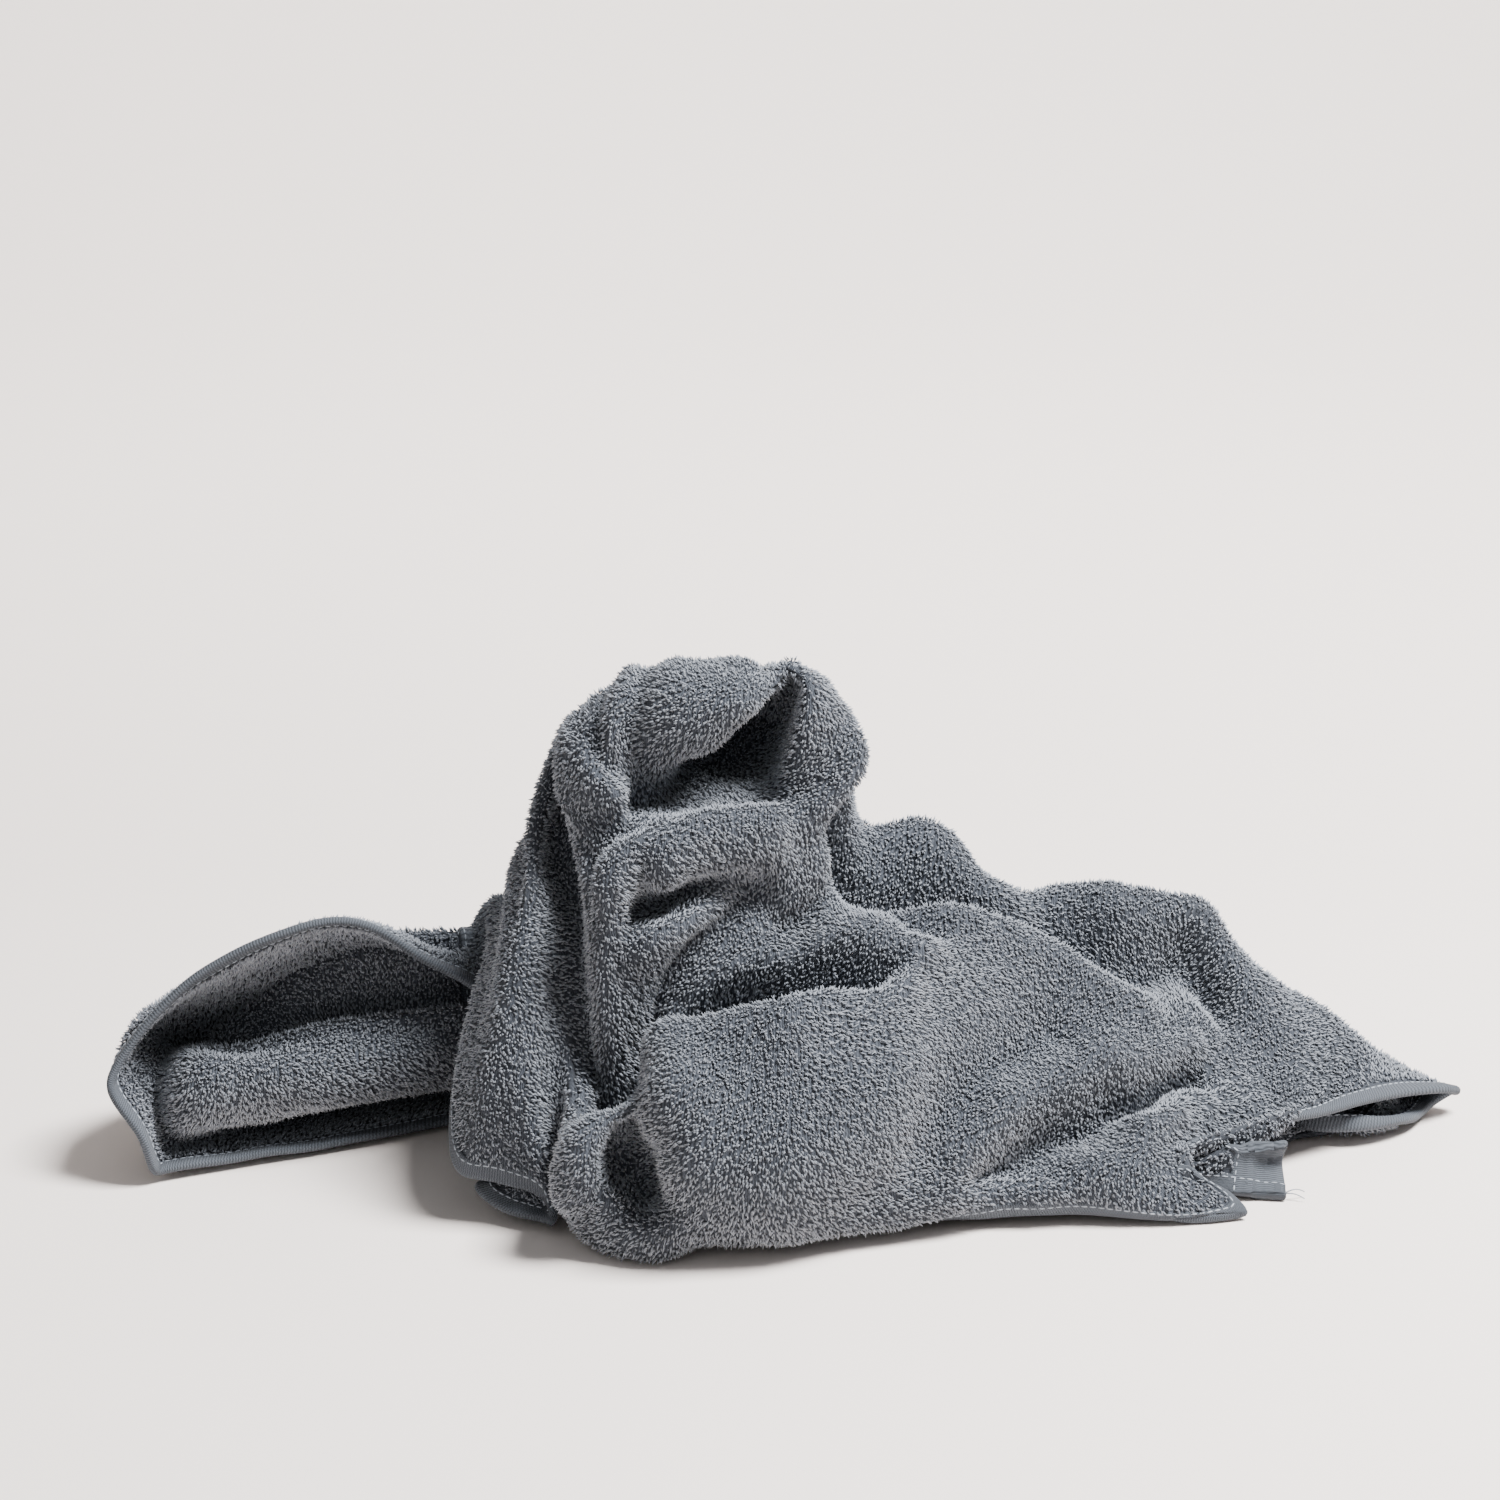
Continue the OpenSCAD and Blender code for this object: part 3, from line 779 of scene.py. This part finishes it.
def pile_material(colours):
    """Cotton loops, darker towards their roots by painted shade, and each a little different."""
    material, board, shader = new_material("terry_pile", 0.95, 0.25)
    # Painted shade: each loop runs from the dark root colour at its base up to the tip colour.
    height = board.maths("POWER", board.attribute("height"), 0.8)
    root_shade_gradient = board.tint("MIX", height, (*colours.loop_root_shade, 1), (*colours.loop_tip, 1))
    dye = put_group(board, dye_group(), Colour=root_shade_gradient, Depth=0.16)
    colour = board.shaded(dye.outputs["Colour"], board.attribute("tone"))
    board.join(colour, shader.inputs["Base Color"])
    return material


def woven_material(name, colour, pitch, depth, roughness=0.9):
    """Flat-woven cotton: fine ribs, with painted shade darker between the threads."""
    material, board, shader = new_material(name, roughness, 0.06)
    place = board.add("ShaderNodeUVMap", uv_map=THREAD_MAP).outputs[0]
    weave = put_group(board, weave_group(), Place=place, Long_pitch=pitch, Cross_pitch=pitch * 1.4)
    dye = put_group(board, dye_group(), Colour=(*colour, 1), Depth=0.2)
    # Painted shade: the colour is darkened where the weave lies low, between the threads.
    gap = board.add("ShaderNodeMapRange")
    gap.inputs["To Min"].default_value = 0.55
    gap.inputs["To Max"].default_value = 1.12
    board.join(weave.outputs["Height"], gap.inputs["Value"])
    shade = board.shaded(dye.outputs["Colour"], gap.outputs[0])
    board.join(shade, shader.inputs["Base Color"])
    board.bump(shader, weave.outputs["Height"], depth, 0.7)
    return material


def thread_material(colours):
    """Sewing thread with a fine grain, each stitch a little lighter or darker."""
    material, board, shader = new_material("sewing_thread", 0.7, 0.1)
    dye = put_group(board, dye_group(), Colour=(*colours.thread, 1), Depth=0.25)
    colour = board.shaded(dye.outputs["Colour"], board.attribute("tone"))
    board.join(colour, shader.inputs["Base Color"])
    board.bump(shader, dye.outputs["Grain"], 0.1 * MM)
    return material


# ---------------------------------------------------------------- the cloth and its loops


class TOWEL_OT_cloth(bpy.types.Operator):
    """Lay the woven ground of the towel in its heap"""

    bl_idname = "towel.cloth"
    bl_label = "Lay cloth"

    def execute(self, context):
        sizes = context.scene.towel_sizes
        places = lay_towel()
        piece, i, j = new_grid("towel_cloth", places.shape[0] - 1, places.shape[1] - 1)
        move_points(piece, places[i, j])
        piece.data.uv_layers[0].name = THREAD_MAP
        shell = piece.modifiers.new("ground", "SOLIDIFY")
        shell.thickness = sizes.cloth_thickness
        shell.offset = 0
        bpy.ops.object.modifier_apply(modifier="ground")
        bpy.ops.object.shade_smooth()
        mesh = piece.data
        spot = numbers(mesh.uv_layers[THREAD_MAP].uv, "vector", 2)
        upper = numbers(mesh.loops, "vertex_index", 1, np.int32) >= len(i)
        margin = 0.006
        rim_height = 0.003
        baked = margin + (1 - 2 * margin) * spot
        baked[:, 1] /= 2
        first = numbers(mesh.polygons, "loop_start", 1, np.int32)
        corners_above = np.add.reduceat(upper.astype(int), first)
        rim = np.repeat(corners_above == 2, 4)
        baked[:, 1] += np.where(rim, upper * rim_height, upper * 0.5)
        bake_spots(mesh, baked)
        spot *= np.array([sizes.flat_length, sizes.flat_width], np.float32)
        mesh.uv_layers[THREAD_MAP].uv.foreach_set("vector", spot.ravel())
        # Painted shade: the ground between the loops takes the dark loop root colour.
        root = context.scene.towel_colours.loop_root_shade
        material = woven_material("terry_ground", root, 1.6 * MM, 0.5 * MM, 0.95)
        finish_piece(piece, material, "terry_panel")
        return {"FINISHED"}


def ways_out():
    """Directions spread evenly over a ball."""
    count = 40
    turn = math.pi * (3 - math.sqrt(5))
    z = 1 - (2 * np.arange(count) + 1) / count
    flat = np.sqrt(1 - z * z)
    angle = turn * np.arange(count)
    return np.stack([flat * np.cos(angle), flat * np.sin(angle), z], 1)


def open_share(places, outward, tree):
    """How open each spot of a coarse grid is: 1 in plain sight, else the share of ways out."""
    far = 0.8
    lift = 4 * MM
    eye = camera_place()
    ways = ways_out()
    share = np.zeros(places.shape[:2])
    for spot in np.ndindex(share.shape):
        normal = outward[spot]
        start = places[spot] + normal * lift
        if start[2] < FLOOR_GAP:
            continue
        to_eye = Vector(eye - start)
        if not tree.ray_cast(Vector(start), to_eye.normalized(), to_eye.length)[0]:
            share[spot] = 1
            continue
        facing = ways[(ways @ normal > 0.1) & (ways[:, 2] > -0.1)]
        free = sum(not tree.ray_cast(Vector(start), Vector(way), far)[0] for way in facing)
        share[spot] = free / len(ways) * 2
    wide = np.pad(share, 1, mode="edge")
    shifts = [wide[a : a + share.shape[0], b : b + share.shape[1]] for a in range(3) for b in range(3)]
    return np.maximum.reduce(shifts)


def loop_pattern():
    """One loop of the pile: a slim three-sided tuft, pointed at its root, fullest at its middle."""
    start_clean()
    bpy.ops.mesh.primitive_cone_add(
        vertices=3, radius1=0.5, depth=0.55, end_fill_type="NOTHING", location=(0, 0, 0.725)
    )
    piece = bpy.context.object
    piece.name = "loop_pattern"
    bpy.ops.object.transform_apply(location=True)
    mesh = piece.data
    for vertex in mesh.vertices:
        vertex.select = vertex.co.z < 0.5
    for edge in mesh.edges:
        edge.select = all(mesh.vertices[v].select for v in edge.vertices)
    bpy.ops.object.mode_set(mode="EDIT")
    bpy.ops.mesh.extrude_region_move(TRANSFORM_OT_translate={"value": (0, 0, -0.45)})
    bpy.ops.mesh.merge(type="CENTER")
    bpy.ops.mesh.select_all(action="SELECT")
    bpy.ops.mesh.normals_make_consistent(inside=False)
    bpy.ops.object.mode_set(mode="OBJECT")
    third = 2 * math.pi / 3
    spot = np.zeros((len(mesh.loops), 2), np.float32)
    for face in mesh.polygons:
        side = round(math.atan2(face.center.y, face.center.x) / third - 0.5) % 3
        for loop, index in zip(face.loop_indices, face.vertices):
            co = mesh.vertices[index].co
            turn = 0
            if math.hypot(co.x, co.y) > 1e-3:
                turn = math.remainder(math.atan2(co.y, co.x) - (side + 0.5) * third, 2 * math.pi) / third
            spot[loop] = ((side + 0.5 + turn) / 3, co.z)
    mesh.uv_layers[0].uv.foreach_set("vector", np.clip(spot, 0, 1).ravel())
    return piece


def sown_spots(places, share, count, rng):
    """Spots for loops, spread evenly by area over the cloth that shows."""
    a = np.cross(places[1:, :-1] - places[:-1, :-1], places[:-1, 1:] - places[:-1, :-1])
    area = np.linalg.norm(a, axis=2)
    cells = share.shape
    row = np.arange(area.shape[0]) * (cells[0] - 1) // area.shape[0]
    column = np.arange(area.shape[1]) * (cells[1] - 1) // area.shape[1]
    openness = share[np.ix_(row, column)]
    thinned = np.where(openness > BARELY_OPEN, 0.6, 0.0)
    weight = area * np.where(openness > WELL_OPEN, 1.0, thinned)
    total = np.cumsum(weight.ravel())
    at = (np.arange(count) + rng.random(count)) / count * total[-1]
    cell = np.minimum(np.searchsorted(total, at), len(total) - 1)
    i, j = np.unravel_index(cell, area.shape)
    even_steps = (0.7548776662, 0.5698402910)
    s, t = ((np.arange(count) * step + rng.random(count) * 0.25) % 1 for step in even_steps)
    return i + s, j + t


def read_between(field, at_long, at_wide):
    """Reads a grid between its points."""
    i = np.clip(at_long.astype(int), 0, field.shape[0] - 2)
    j = np.clip(at_wide.astype(int), 0, field.shape[1] - 2)
    s = (at_long - i)[:, None]
    t = (at_wide - j)[:, None]
    near = field[i, j] * (1 - t) + field[i, j + 1] * t
    far = field[i + 1, j] * (1 - t) + field[i + 1, j + 1] * t
    return near * (1 - s) + far * s


class TOWEL_OT_loops(bpy.types.Operator):
    """Raise the terry loops on both faces of the cloth that shows"""

    bl_idname = "towel.loops"
    bl_label = "Raise loops"

    def execute(self, context):
        sizes = context.scene.towel_sizes
        places = lay_towel()
        outward = face_normals(places)
        rng = np.random.default_rng(5)
        side, at_long, at_wide = self.sow(places, outward, sizes, rng)
        root, turns = self.stand(places, outward, (side, at_long, at_wide), sizes, rng)
        tones = rng.normal(1.0, 0.09, len(side)).clip(0.75, 1.25)
        pattern = loop_pattern()
        material = pile_material(context.scene.towel_colours)
        bands = math.ceil(len(side) / LOOPS_PER_PIECE)
        order = np.argsort(at_long + side * 1000, kind="stable")
        for number, members in enumerate(np.array_split(order, bands), 1):
            name = f"terry_pile_{number}"
            piece = scattered(name, pattern, root[members], turns[members], tones[members])
            finish_piece(piece, material, "terry_panel")
        bpy.data.objects.remove(pattern)
        return {"FINISHED"}

    def sow(self, places, outward, sizes, rng):
        """Face, mark along and mark across of each loop, on both faces and clear of the hems."""
        shape = places.shape
        corner = np.arange(shape[0] * shape[1]).reshape(shape[:2])
        quads = np.stack([corner[:-1, :-1], corner[1:, :-1], corner[1:, 1:], corner[:-1, 1:]], -1)
        tree = BVHTree.FromPolygons(places.reshape(-1, 3).tolist(), quads.reshape(-1, 4).tolist())
        faces = (1, -1)
        shares = [open_share(places[::2, ::2], side * outward[::2, ::2], tree) for side in faces]
        showing = [float((share > BARELY_OPEN).mean()) for share in shares]
        found = []
        for side, share, shown in zip(faces, shares, showing):
            count = round(sizes.loop_count * shown / sum(showing))
            at_long, at_wide = sown_spots(places, share, count, rng)
            found.append((np.full(count, side), at_long, at_wide))
        side, at_long, at_wide = (np.concatenate(parts) for parts in zip(*found))
        keep = HemEdges(places, sizes).clear_of_hems(at_long, at_wide)
        return side[keep], at_long[keep], at_wide[keep]

    def stand(self, places, outward, spots, sizes, rng):
        """Root of each loop, and its width, depth and height as turned axes."""
        side, at_long, at_wide = spots
        many = len(side)
        across = unit(np.gradient(places, axis=1))
        normal = read_between(outward, at_long, at_wide) * side[:, None]
        down = -read_between(across, at_long, at_wide)
        swirl = 1.1 * np.sin(0.11 * at_long + 1.7 * np.sin(0.09 * at_wide))
        swirl += 0.5 * np.sin(0.27 * at_wide)
        nap = down * np.cos(swirl)[:, None] + np.cross(normal, down) * np.sin(swirl)[:, None]
        droop = 0.35
        upright = 0.72
        combed = 0.55
        unruly = 0.27
        nap[:, 2] -= droop
        up = unit(upright * normal + combed * nap + unruly * rng.normal(size=(many, 3)))
        spin = rng.normal(size=(many, 3))
        first = unit(np.cross(up, spin))
        second = np.cross(up, first)
        width = sizes.loop_width * rng.uniform(0.75, 1.2, many)[:, None]
        height = sizes.loop_length * rng.uniform(0.7, 1.15, many)[:, None]
        turns = np.stack([first * width, second * width, up * height], 2)
        sunk = sizes.cloth_thickness / 2 - 0.3 * MM
        root = read_between(places, at_long, at_wide) + normal * sunk
        tip = root[:, 2] + turns[:, 2, 2]
        turns[tip < FLOOR_GAP] *= 0.2
        return root, turns


# ---------------------------------------------------------------- hems and stitches


class HemEdges:
    """The four edges of the towel, each as lines of places that run inwards from it."""

    def __init__(self, places, sizes):
        outward = unit(smoothed(face_normals(places), 2))
        self.lines = {
            "front": (places, outward),
            "back": (places[:, ::-1], outward[:, ::-1]),
            "left": (places.transpose(1, 0, 2), outward.transpose(1, 0, 2)),
            "right": (places[::-1].transpose(1, 0, 2), outward[::-1].transpose(1, 0, 2)),
        }
        self.shape = places.shape[:2]
        count = self.shape[1]
        side = sizes.side_hem_width
        end = sizes.end_hem_width
        tab_end = 9
        tab_fade = 3
        mark = np.arange(count) * MARKS_WIDE / (count - 1)
        tab = np.clip((tab_end - mark) / tab_fade, 0, 1)
        self.widths = {
            "front": np.full(self.shape[0], side),
            "back": np.full(self.shape[0], side),
            "left": np.full(count, end),
            "right": side + (end - side) * tab,
        }
        self.depths = {name: self.run_in(lines) for name, (lines, _) in self.lines.items()}

    def run_in(self, lines):
        """Distance from the edge along each line, for its first points."""
        steps = np.linalg.norm(np.diff(lines[:, :40], axis=1), axis=2)
        return np.concatenate([np.zeros((len(lines), 1)), np.cumsum(steps, 1)], 1)

    def clear_of_hems(self, at_long, at_wide):
        """Which spots lie further in than the hems."""
        clear = np.ones(len(at_long), bool)
        last_long = self.shape[0] - 1
        last_wide = self.shape[1] - 1
        ways = {
            "front": (at_long, at_wide),
            "back": (at_long, last_wide - at_wide),
            "left": (at_wide, at_long),
            "right": (at_wide, last_long - at_long),
        }
        for name, (along, inward) in ways.items():
            station = np.rint(along).astype(int)
            depth = self.depths[name]
            near = np.minimum(inward, depth.shape[1] - 1.001)
            k = near.astype(int)
            here = depth[station, k] * (1 - near + k) + depth[station, k + 1] * (near - k)
            clear &= here > self.widths[name][station] - 0.8 * MM
        return clear

    def at(self, name, station, inward):
        """The place and face normal at a distance in from an edge."""
        lines, outward = self.lines[name]
        depth = self.depths[name][station]
        k = np.interp(max(inward, 0), depth, np.arange(len(depth)))
        a = int(min(k, len(depth) - 2))
        place = lines[station, a] * (1 - k + a) + lines[station, a + 1] * (k - a)
        if inward < 0:
            place = place - inward * unit(lines[station, 0] - lines[station, 2])
        return place, unit(outward[station, a])


def hem_section(width, thick):
    """Outline of a folded hem: (distance in from the edge, height), flat with a round fold."""
    half = thick / 2
    top = [(width, half * 0.45), (width - 0.7 * MM, half * 0.85)]
    top += [(inward, half) for inward in np.linspace(width - 2 * MM, 1.6 * MM, 7)]
    top += [(0.3 * MM, half * 0.8), (-0.5 * MM, half * 0.4)]
    return top + [(a, -b) for a, b in reversed(top)]


class TOWEL_OT_hems(bpy.types.Operator):
    """Fold the four hems round the edges of the cloth"""

    bl_idname = "towel.hems"
    bl_label = "Fold hems"

    def execute(self, context):
        sizes = context.scene.towel_sizes
        edges = HemEdges(lay_towel(HEM_POINTS_PER_MARK), sizes)
        woven = context.scene.towel_colours.woven
        material = woven_material("flat_woven", woven, 1.3 * MM, 0.45 * MM)
        plan = [
            ("side_hem_front", "front", 1),
            ("side_hem_back", "back", 1),
            ("end_hem_left", "left", 1.06),
            ("end_hem_right", "right", 1.06),
        ]
        for node, edge, fullness in plan:
            rings = []
            for station, width in enumerate(edges.widths[edge]):
                ring = []
                for inward, height in hem_section(width, sizes.hem_thickness * fullness):
                    place, normal = edges.at(edge, station, inward)
                    ring.append(place + normal * height)
                rings.append(ring)
            rings = np.array(rings)
            rings[..., 2] = np.maximum(rings[..., 2], HEM_REST)
            piece = wrapped_strip(f"{node}_cloth", rings, HEM_MAP_ROWS)
            finish_piece(piece, material, node)
        return {"FINISHED"}


def stitch_pattern():
    """One stitch: a short round bar with rounded ends, lying along its height."""
    start_clean()
    bpy.ops.mesh.primitive_uv_sphere_add(segments=6, ring_count=5, radius=0.5)
    piece = bpy.context.object
    piece.name = "stitch_pattern"
    return piece


class TOWEL_OT_stitching(bpy.types.Operator):
    """Sew a row of stitches along each hem, on both faces"""

    bl_idname = "towel.stitching"
    bl_label = "Sew stitches"

    def execute(self, context):
        sizes = context.scene.towel_sizes
        edges = HemEdges(lay_towel(HEM_POINTS_PER_MARK), sizes)
        pattern = stitch_pattern()
        material = thread_material(context.scene.towel_colours)
        rng = np.random.default_rng(3)
        for edge, widths in edges.widths.items():
            spots = []
            for face in (1, -1):
                line = []
                for station, width in enumerate(widths):
                    place, normal = edges.at(edge, station, width - STITCH_INSET)
                    line.append((place + face * normal * (sizes.hem_thickness / 2), face * normal))
                spots.append(self.along(np.array(line), sizes))
            place, way, normal = (np.concatenate(parts) for parts in zip(*spots))
            side = np.cross(way, normal)
            thick = sizes.thread_width * rng.uniform(0.85, 1.15, (len(place), 1))
            turns = np.stack([side * thick, normal * thick * 0.8, way * sizes.stitch_length], 2)
            tones = rng.normal(1.0, 0.07, len(place)).clip(0.8, 1.2)
            piece = scattered(f"stitching_{edge}_thread", pattern, place, turns, tones)
            finish_piece(piece, material, f"stitching_{edge}")
        bpy.data.objects.remove(pattern)
        return {"FINISHED"}

    def along(self, line, sizes):
        """Even spots along a line of places and normals: place, direction and normal."""
        places, normals = line[:, 0], line[:, 1]
        run = np.concatenate([[0], np.cumsum(np.linalg.norm(np.diff(places, axis=0), axis=1))])
        middle = np.arange(sizes.stitch_pitch / 2, run[-1], sizes.stitch_pitch)
        half = sizes.stitch_length / 2

        def read(field, where):
            return np.stack([np.interp(where, run, field[:, axis]) for axis in range(3)], 1)

        way = unit(read(places, middle + half) - read(places, middle - half))
        normal = read(normals, middle)
        normal = unit(normal - way * (normal * way).sum(1, keepdims=True))
        place = read(places, middle)
        keep = place[:, 2] > FLOOR_GAP
        return place[keep], way[keep], normal[keep]


class TOWEL_OT_tails(bpy.types.Operator):
    """Leave two short thread tails at the flat corner"""

    bl_idname = "towel.tails"
    bl_label = "Leave thread tails"

    def execute(self, context):
        sizes = context.scene.towel_sizes
        low, high = (np.array(corner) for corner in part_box("thread_tails"))
        edges = HemEdges(lay_towel(HEM_POINTS_PER_MARK), sizes)
        start, normal = edges.at("right", 2, 1 * MM)
        inner, _ = edges.at("right", 2, 12 * MM)
        out = unit(start - inner)
        reach = float(np.linalg.norm((high - low)[:2])) * 0.7
        tubes = []
        for bend, lift in ((0.35, 0.25), (-0.25, 0.1)):
            side = np.cross(normal, out)
            t = np.linspace(0, 1, 14)[:, None]
            path = start + out * reach * t + side * reach * bend * t * t
            path = path + normal * (reach * lift * np.sin(3 * t) - 1.2 * MM * t)
            path[:, 2] = np.maximum(path[:, 2], sizes.thread_width * 0.6)
            tubes.append(self.tube(path, sizes.thread_width * 0.45))
        for tube in tubes:
            tube.select_set(True)
        context.view_layer.objects.active = tubes[0]
        bpy.ops.object.join()
        piece = tubes[0]
        piece.name = "thread_tails_thread"
        tone = piece.data.attributes.new("tone", "FLOAT", "POINT")
        tone.data.foreach_set("value", np.ones(len(piece.data.vertices), np.float32))
        material = bpy.data.materials["sewing_thread"]
        finish_piece(piece, material, "thread_tails")
        return {"FINISHED"}

    def tube(self, path, radius):
        """A thin round thread along a path, tapering to its cut end."""
        way = unit(np.gradient(path, axis=0))
        first = unit(np.cross(way, (0.0, 0.0, 1.0)))
        second = np.cross(first, way)
        angle = np.linspace(0, 2 * math.pi, 8, endpoint=False)[None, :, None]
        size = radius * np.linspace(1, 0.6, len(path))[:, None, None]
        rings = path[:, None] + size * (np.cos(angle) * first[:, None] + np.sin(angle) * second[:, None])
        return wrapped_strip("tail", rings, 1)


# ---------------------------------------------------------------- stage


CAMERA_RISE = math.radians(18)
CAMERA_DISTANCE = 3.0
CAMERA_TARGET = np.array([-0.015, 0.0, 0.210])
VIEW_WIDTH = 0.75
SENSOR_WIDTH = 36
FLOOR_SIZE = 7
WALL_HEIGHT = 4
SWEEP_RADIUS = 1.8

# Each lamp: its place, its size, its power in watts and what it points at.
LAMPS = {
    "window": ((1.2, -0.2, 2.3), 1.0, 258, (0, 0, 0.08)),
    "fill": ((-0.8, -2.2, 1.2), 1.8, 5, (0, 0, 0.08)),
    "wash": ((0, 1.2, 1.9), 1.6, 75, (0, 3.4, 1.0)),
}


def camera_place():
    """Where the camera stands."""
    back = np.array([0.0, -math.cos(CAMERA_RISE), math.sin(CAMERA_RISE)])
    return CAMERA_TARGET + CAMERA_DISTANCE * back


class TOWEL_OT_stage(bpy.types.Operator):
    """Set up the pale floor, the soft light and the camera"""

    bl_idname = "towel.stage"
    bl_label = "Set stage"

    def execute(self, context):
        self.floor(context.scene.towel_colours.floor)
        self.sky()
        for name, settings in LAMPS.items():
            self.lamp(name, *settings)
        self.camera()
        return {"FINISHED"}

    def floor(self, colour):
        """A floor that sweeps up into a wall behind the towel."""
        start_clean()
        bpy.ops.mesh.primitive_plane_add(size=FLOOR_SIZE, location=(0, 0, 0))
        sweep = bpy.context.object
        sweep.name = "floor"
        bpy.ops.object.transform_apply(location=True)
        mesh = sweep.data
        for edge in mesh.edges:
            edge.select = all(mesh.vertices[v].co.y > 0 for v in edge.vertices)
        for vertex in mesh.vertices:
            vertex.select = vertex.co.y > 0
        for face in mesh.polygons:
            face.select = False
        bpy.ops.object.mode_set(mode="EDIT")
        bpy.ops.mesh.extrude_region_move(TRANSFORM_OT_translate={"value": (0, 0, WALL_HEIGHT)})
        bpy.ops.mesh.select_all(action="DESELECT")
        bpy.ops.object.mode_set(mode="OBJECT")
        for edge in mesh.edges:
            ends = [mesh.vertices[v].co for v in edge.vertices]
            edge.select = all(co.y > 0 and co.z < 0.1 for co in ends)
        bpy.ops.object.mode_set(mode="EDIT")
        bpy.ops.mesh.bevel(offset=SWEEP_RADIUS, segments=24)
        bpy.ops.object.mode_set(mode="OBJECT")
        bpy.ops.object.shade_smooth()
        material, board, shader = new_material("pale_floor", 0.8, 0.0)
        dye = put_group(board, dye_group(), Colour=(*colour, 1), Depth=0.01)
        board.join(dye.outputs["Colour"], shader.inputs["Base Color"])
        mesh.materials.clear()
        mesh.materials.append(material)

    def sky(self):
        """Even light from all round."""
        world = bpy.data.worlds.new("soft_sky")
        world.use_nodes = True
        backdrop = world.node_tree.nodes["Background"]
        backdrop.inputs[0].default_value = (0.97, 0.98, 1.0, 1)
        backdrop.inputs[1].default_value = 0.27
        bpy.context.scene.world = world

    def lamp(self, name, place, size, power, target):
        """A square lamp that points at its target."""
        start_clean()
        bpy.ops.object.light_add(type="AREA", location=place)
        lamp = bpy.context.object
        lamp.name = name
        lamp.data.size = size
        lamp.data.energy = power
        aim = Vector(target) - Vector(place)
        lamp.rotation_euler = aim.to_track_quat("-Z", "Y").to_euler()

    def camera(self):
        """A long lens from a little above the floor."""
        start_clean()
        bpy.ops.object.camera_add(
            location=camera_place(), rotation=(math.pi / 2 - CAMERA_RISE, 0, 0)
        )
        camera = bpy.context.object
        camera.name = "camera"
        camera.data.sensor_width = SENSOR_WIDTH
        camera.data.lens = SENSOR_WIDTH * CAMERA_DISTANCE / VIEW_WIDTH
        bpy.context.scene.camera = camera


class TOWEL_PT_panel(bpy.types.Panel):
    """Buttons for the towel's pieces, with its sizes and colours"""

    bl_label = "Towel"
    bl_idname = "TOWEL_PT_panel"
    bl_space_type = "VIEW_3D"
    bl_region_type = "UI"
    bl_category = "Towel"

    def draw(self, context):
        layout = self.layout
        for operator in OPERATORS:
            layout.operator(operator.bl_idname)
        for group in (context.scene.towel_sizes, context.scene.towel_colours):
            box = layout.box()
            for name in group.__annotations__:
                box.prop(group, name)


OPERATORS = (
    TOWEL_OT_stage,
    TOWEL_OT_cloth,
    TOWEL_OT_loops,
    TOWEL_OT_hems,
    TOWEL_OT_stitching,
    TOWEL_OT_tails,
)
CLASSES = (TowelSizes, TowelColours, *OPERATORS, TOWEL_PT_panel)


def register():
    for each in CLASSES:
        bpy.utils.register_class(each)
    bpy.types.Scene.towel_sizes = bpy.props.PointerProperty(type=TowelSizes)
    bpy.types.Scene.towel_colours = bpy.props.PointerProperty(type=TowelColours)


def unregister():
    del bpy.types.Scene.towel_colours
    del bpy.types.Scene.towel_sizes
    for each in reversed(CLASSES):
        bpy.utils.unregister_class(each)


def main():
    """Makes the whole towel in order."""
    register()
    bpy.ops.towel.stage()
    bpy.ops.towel.cloth()
    bpy.ops.towel.loops()
    bpy.ops.towel.hems()
    bpy.ops.towel.stitching()
    bpy.ops.towel.tails()


if __name__ == "__main__":
    main()
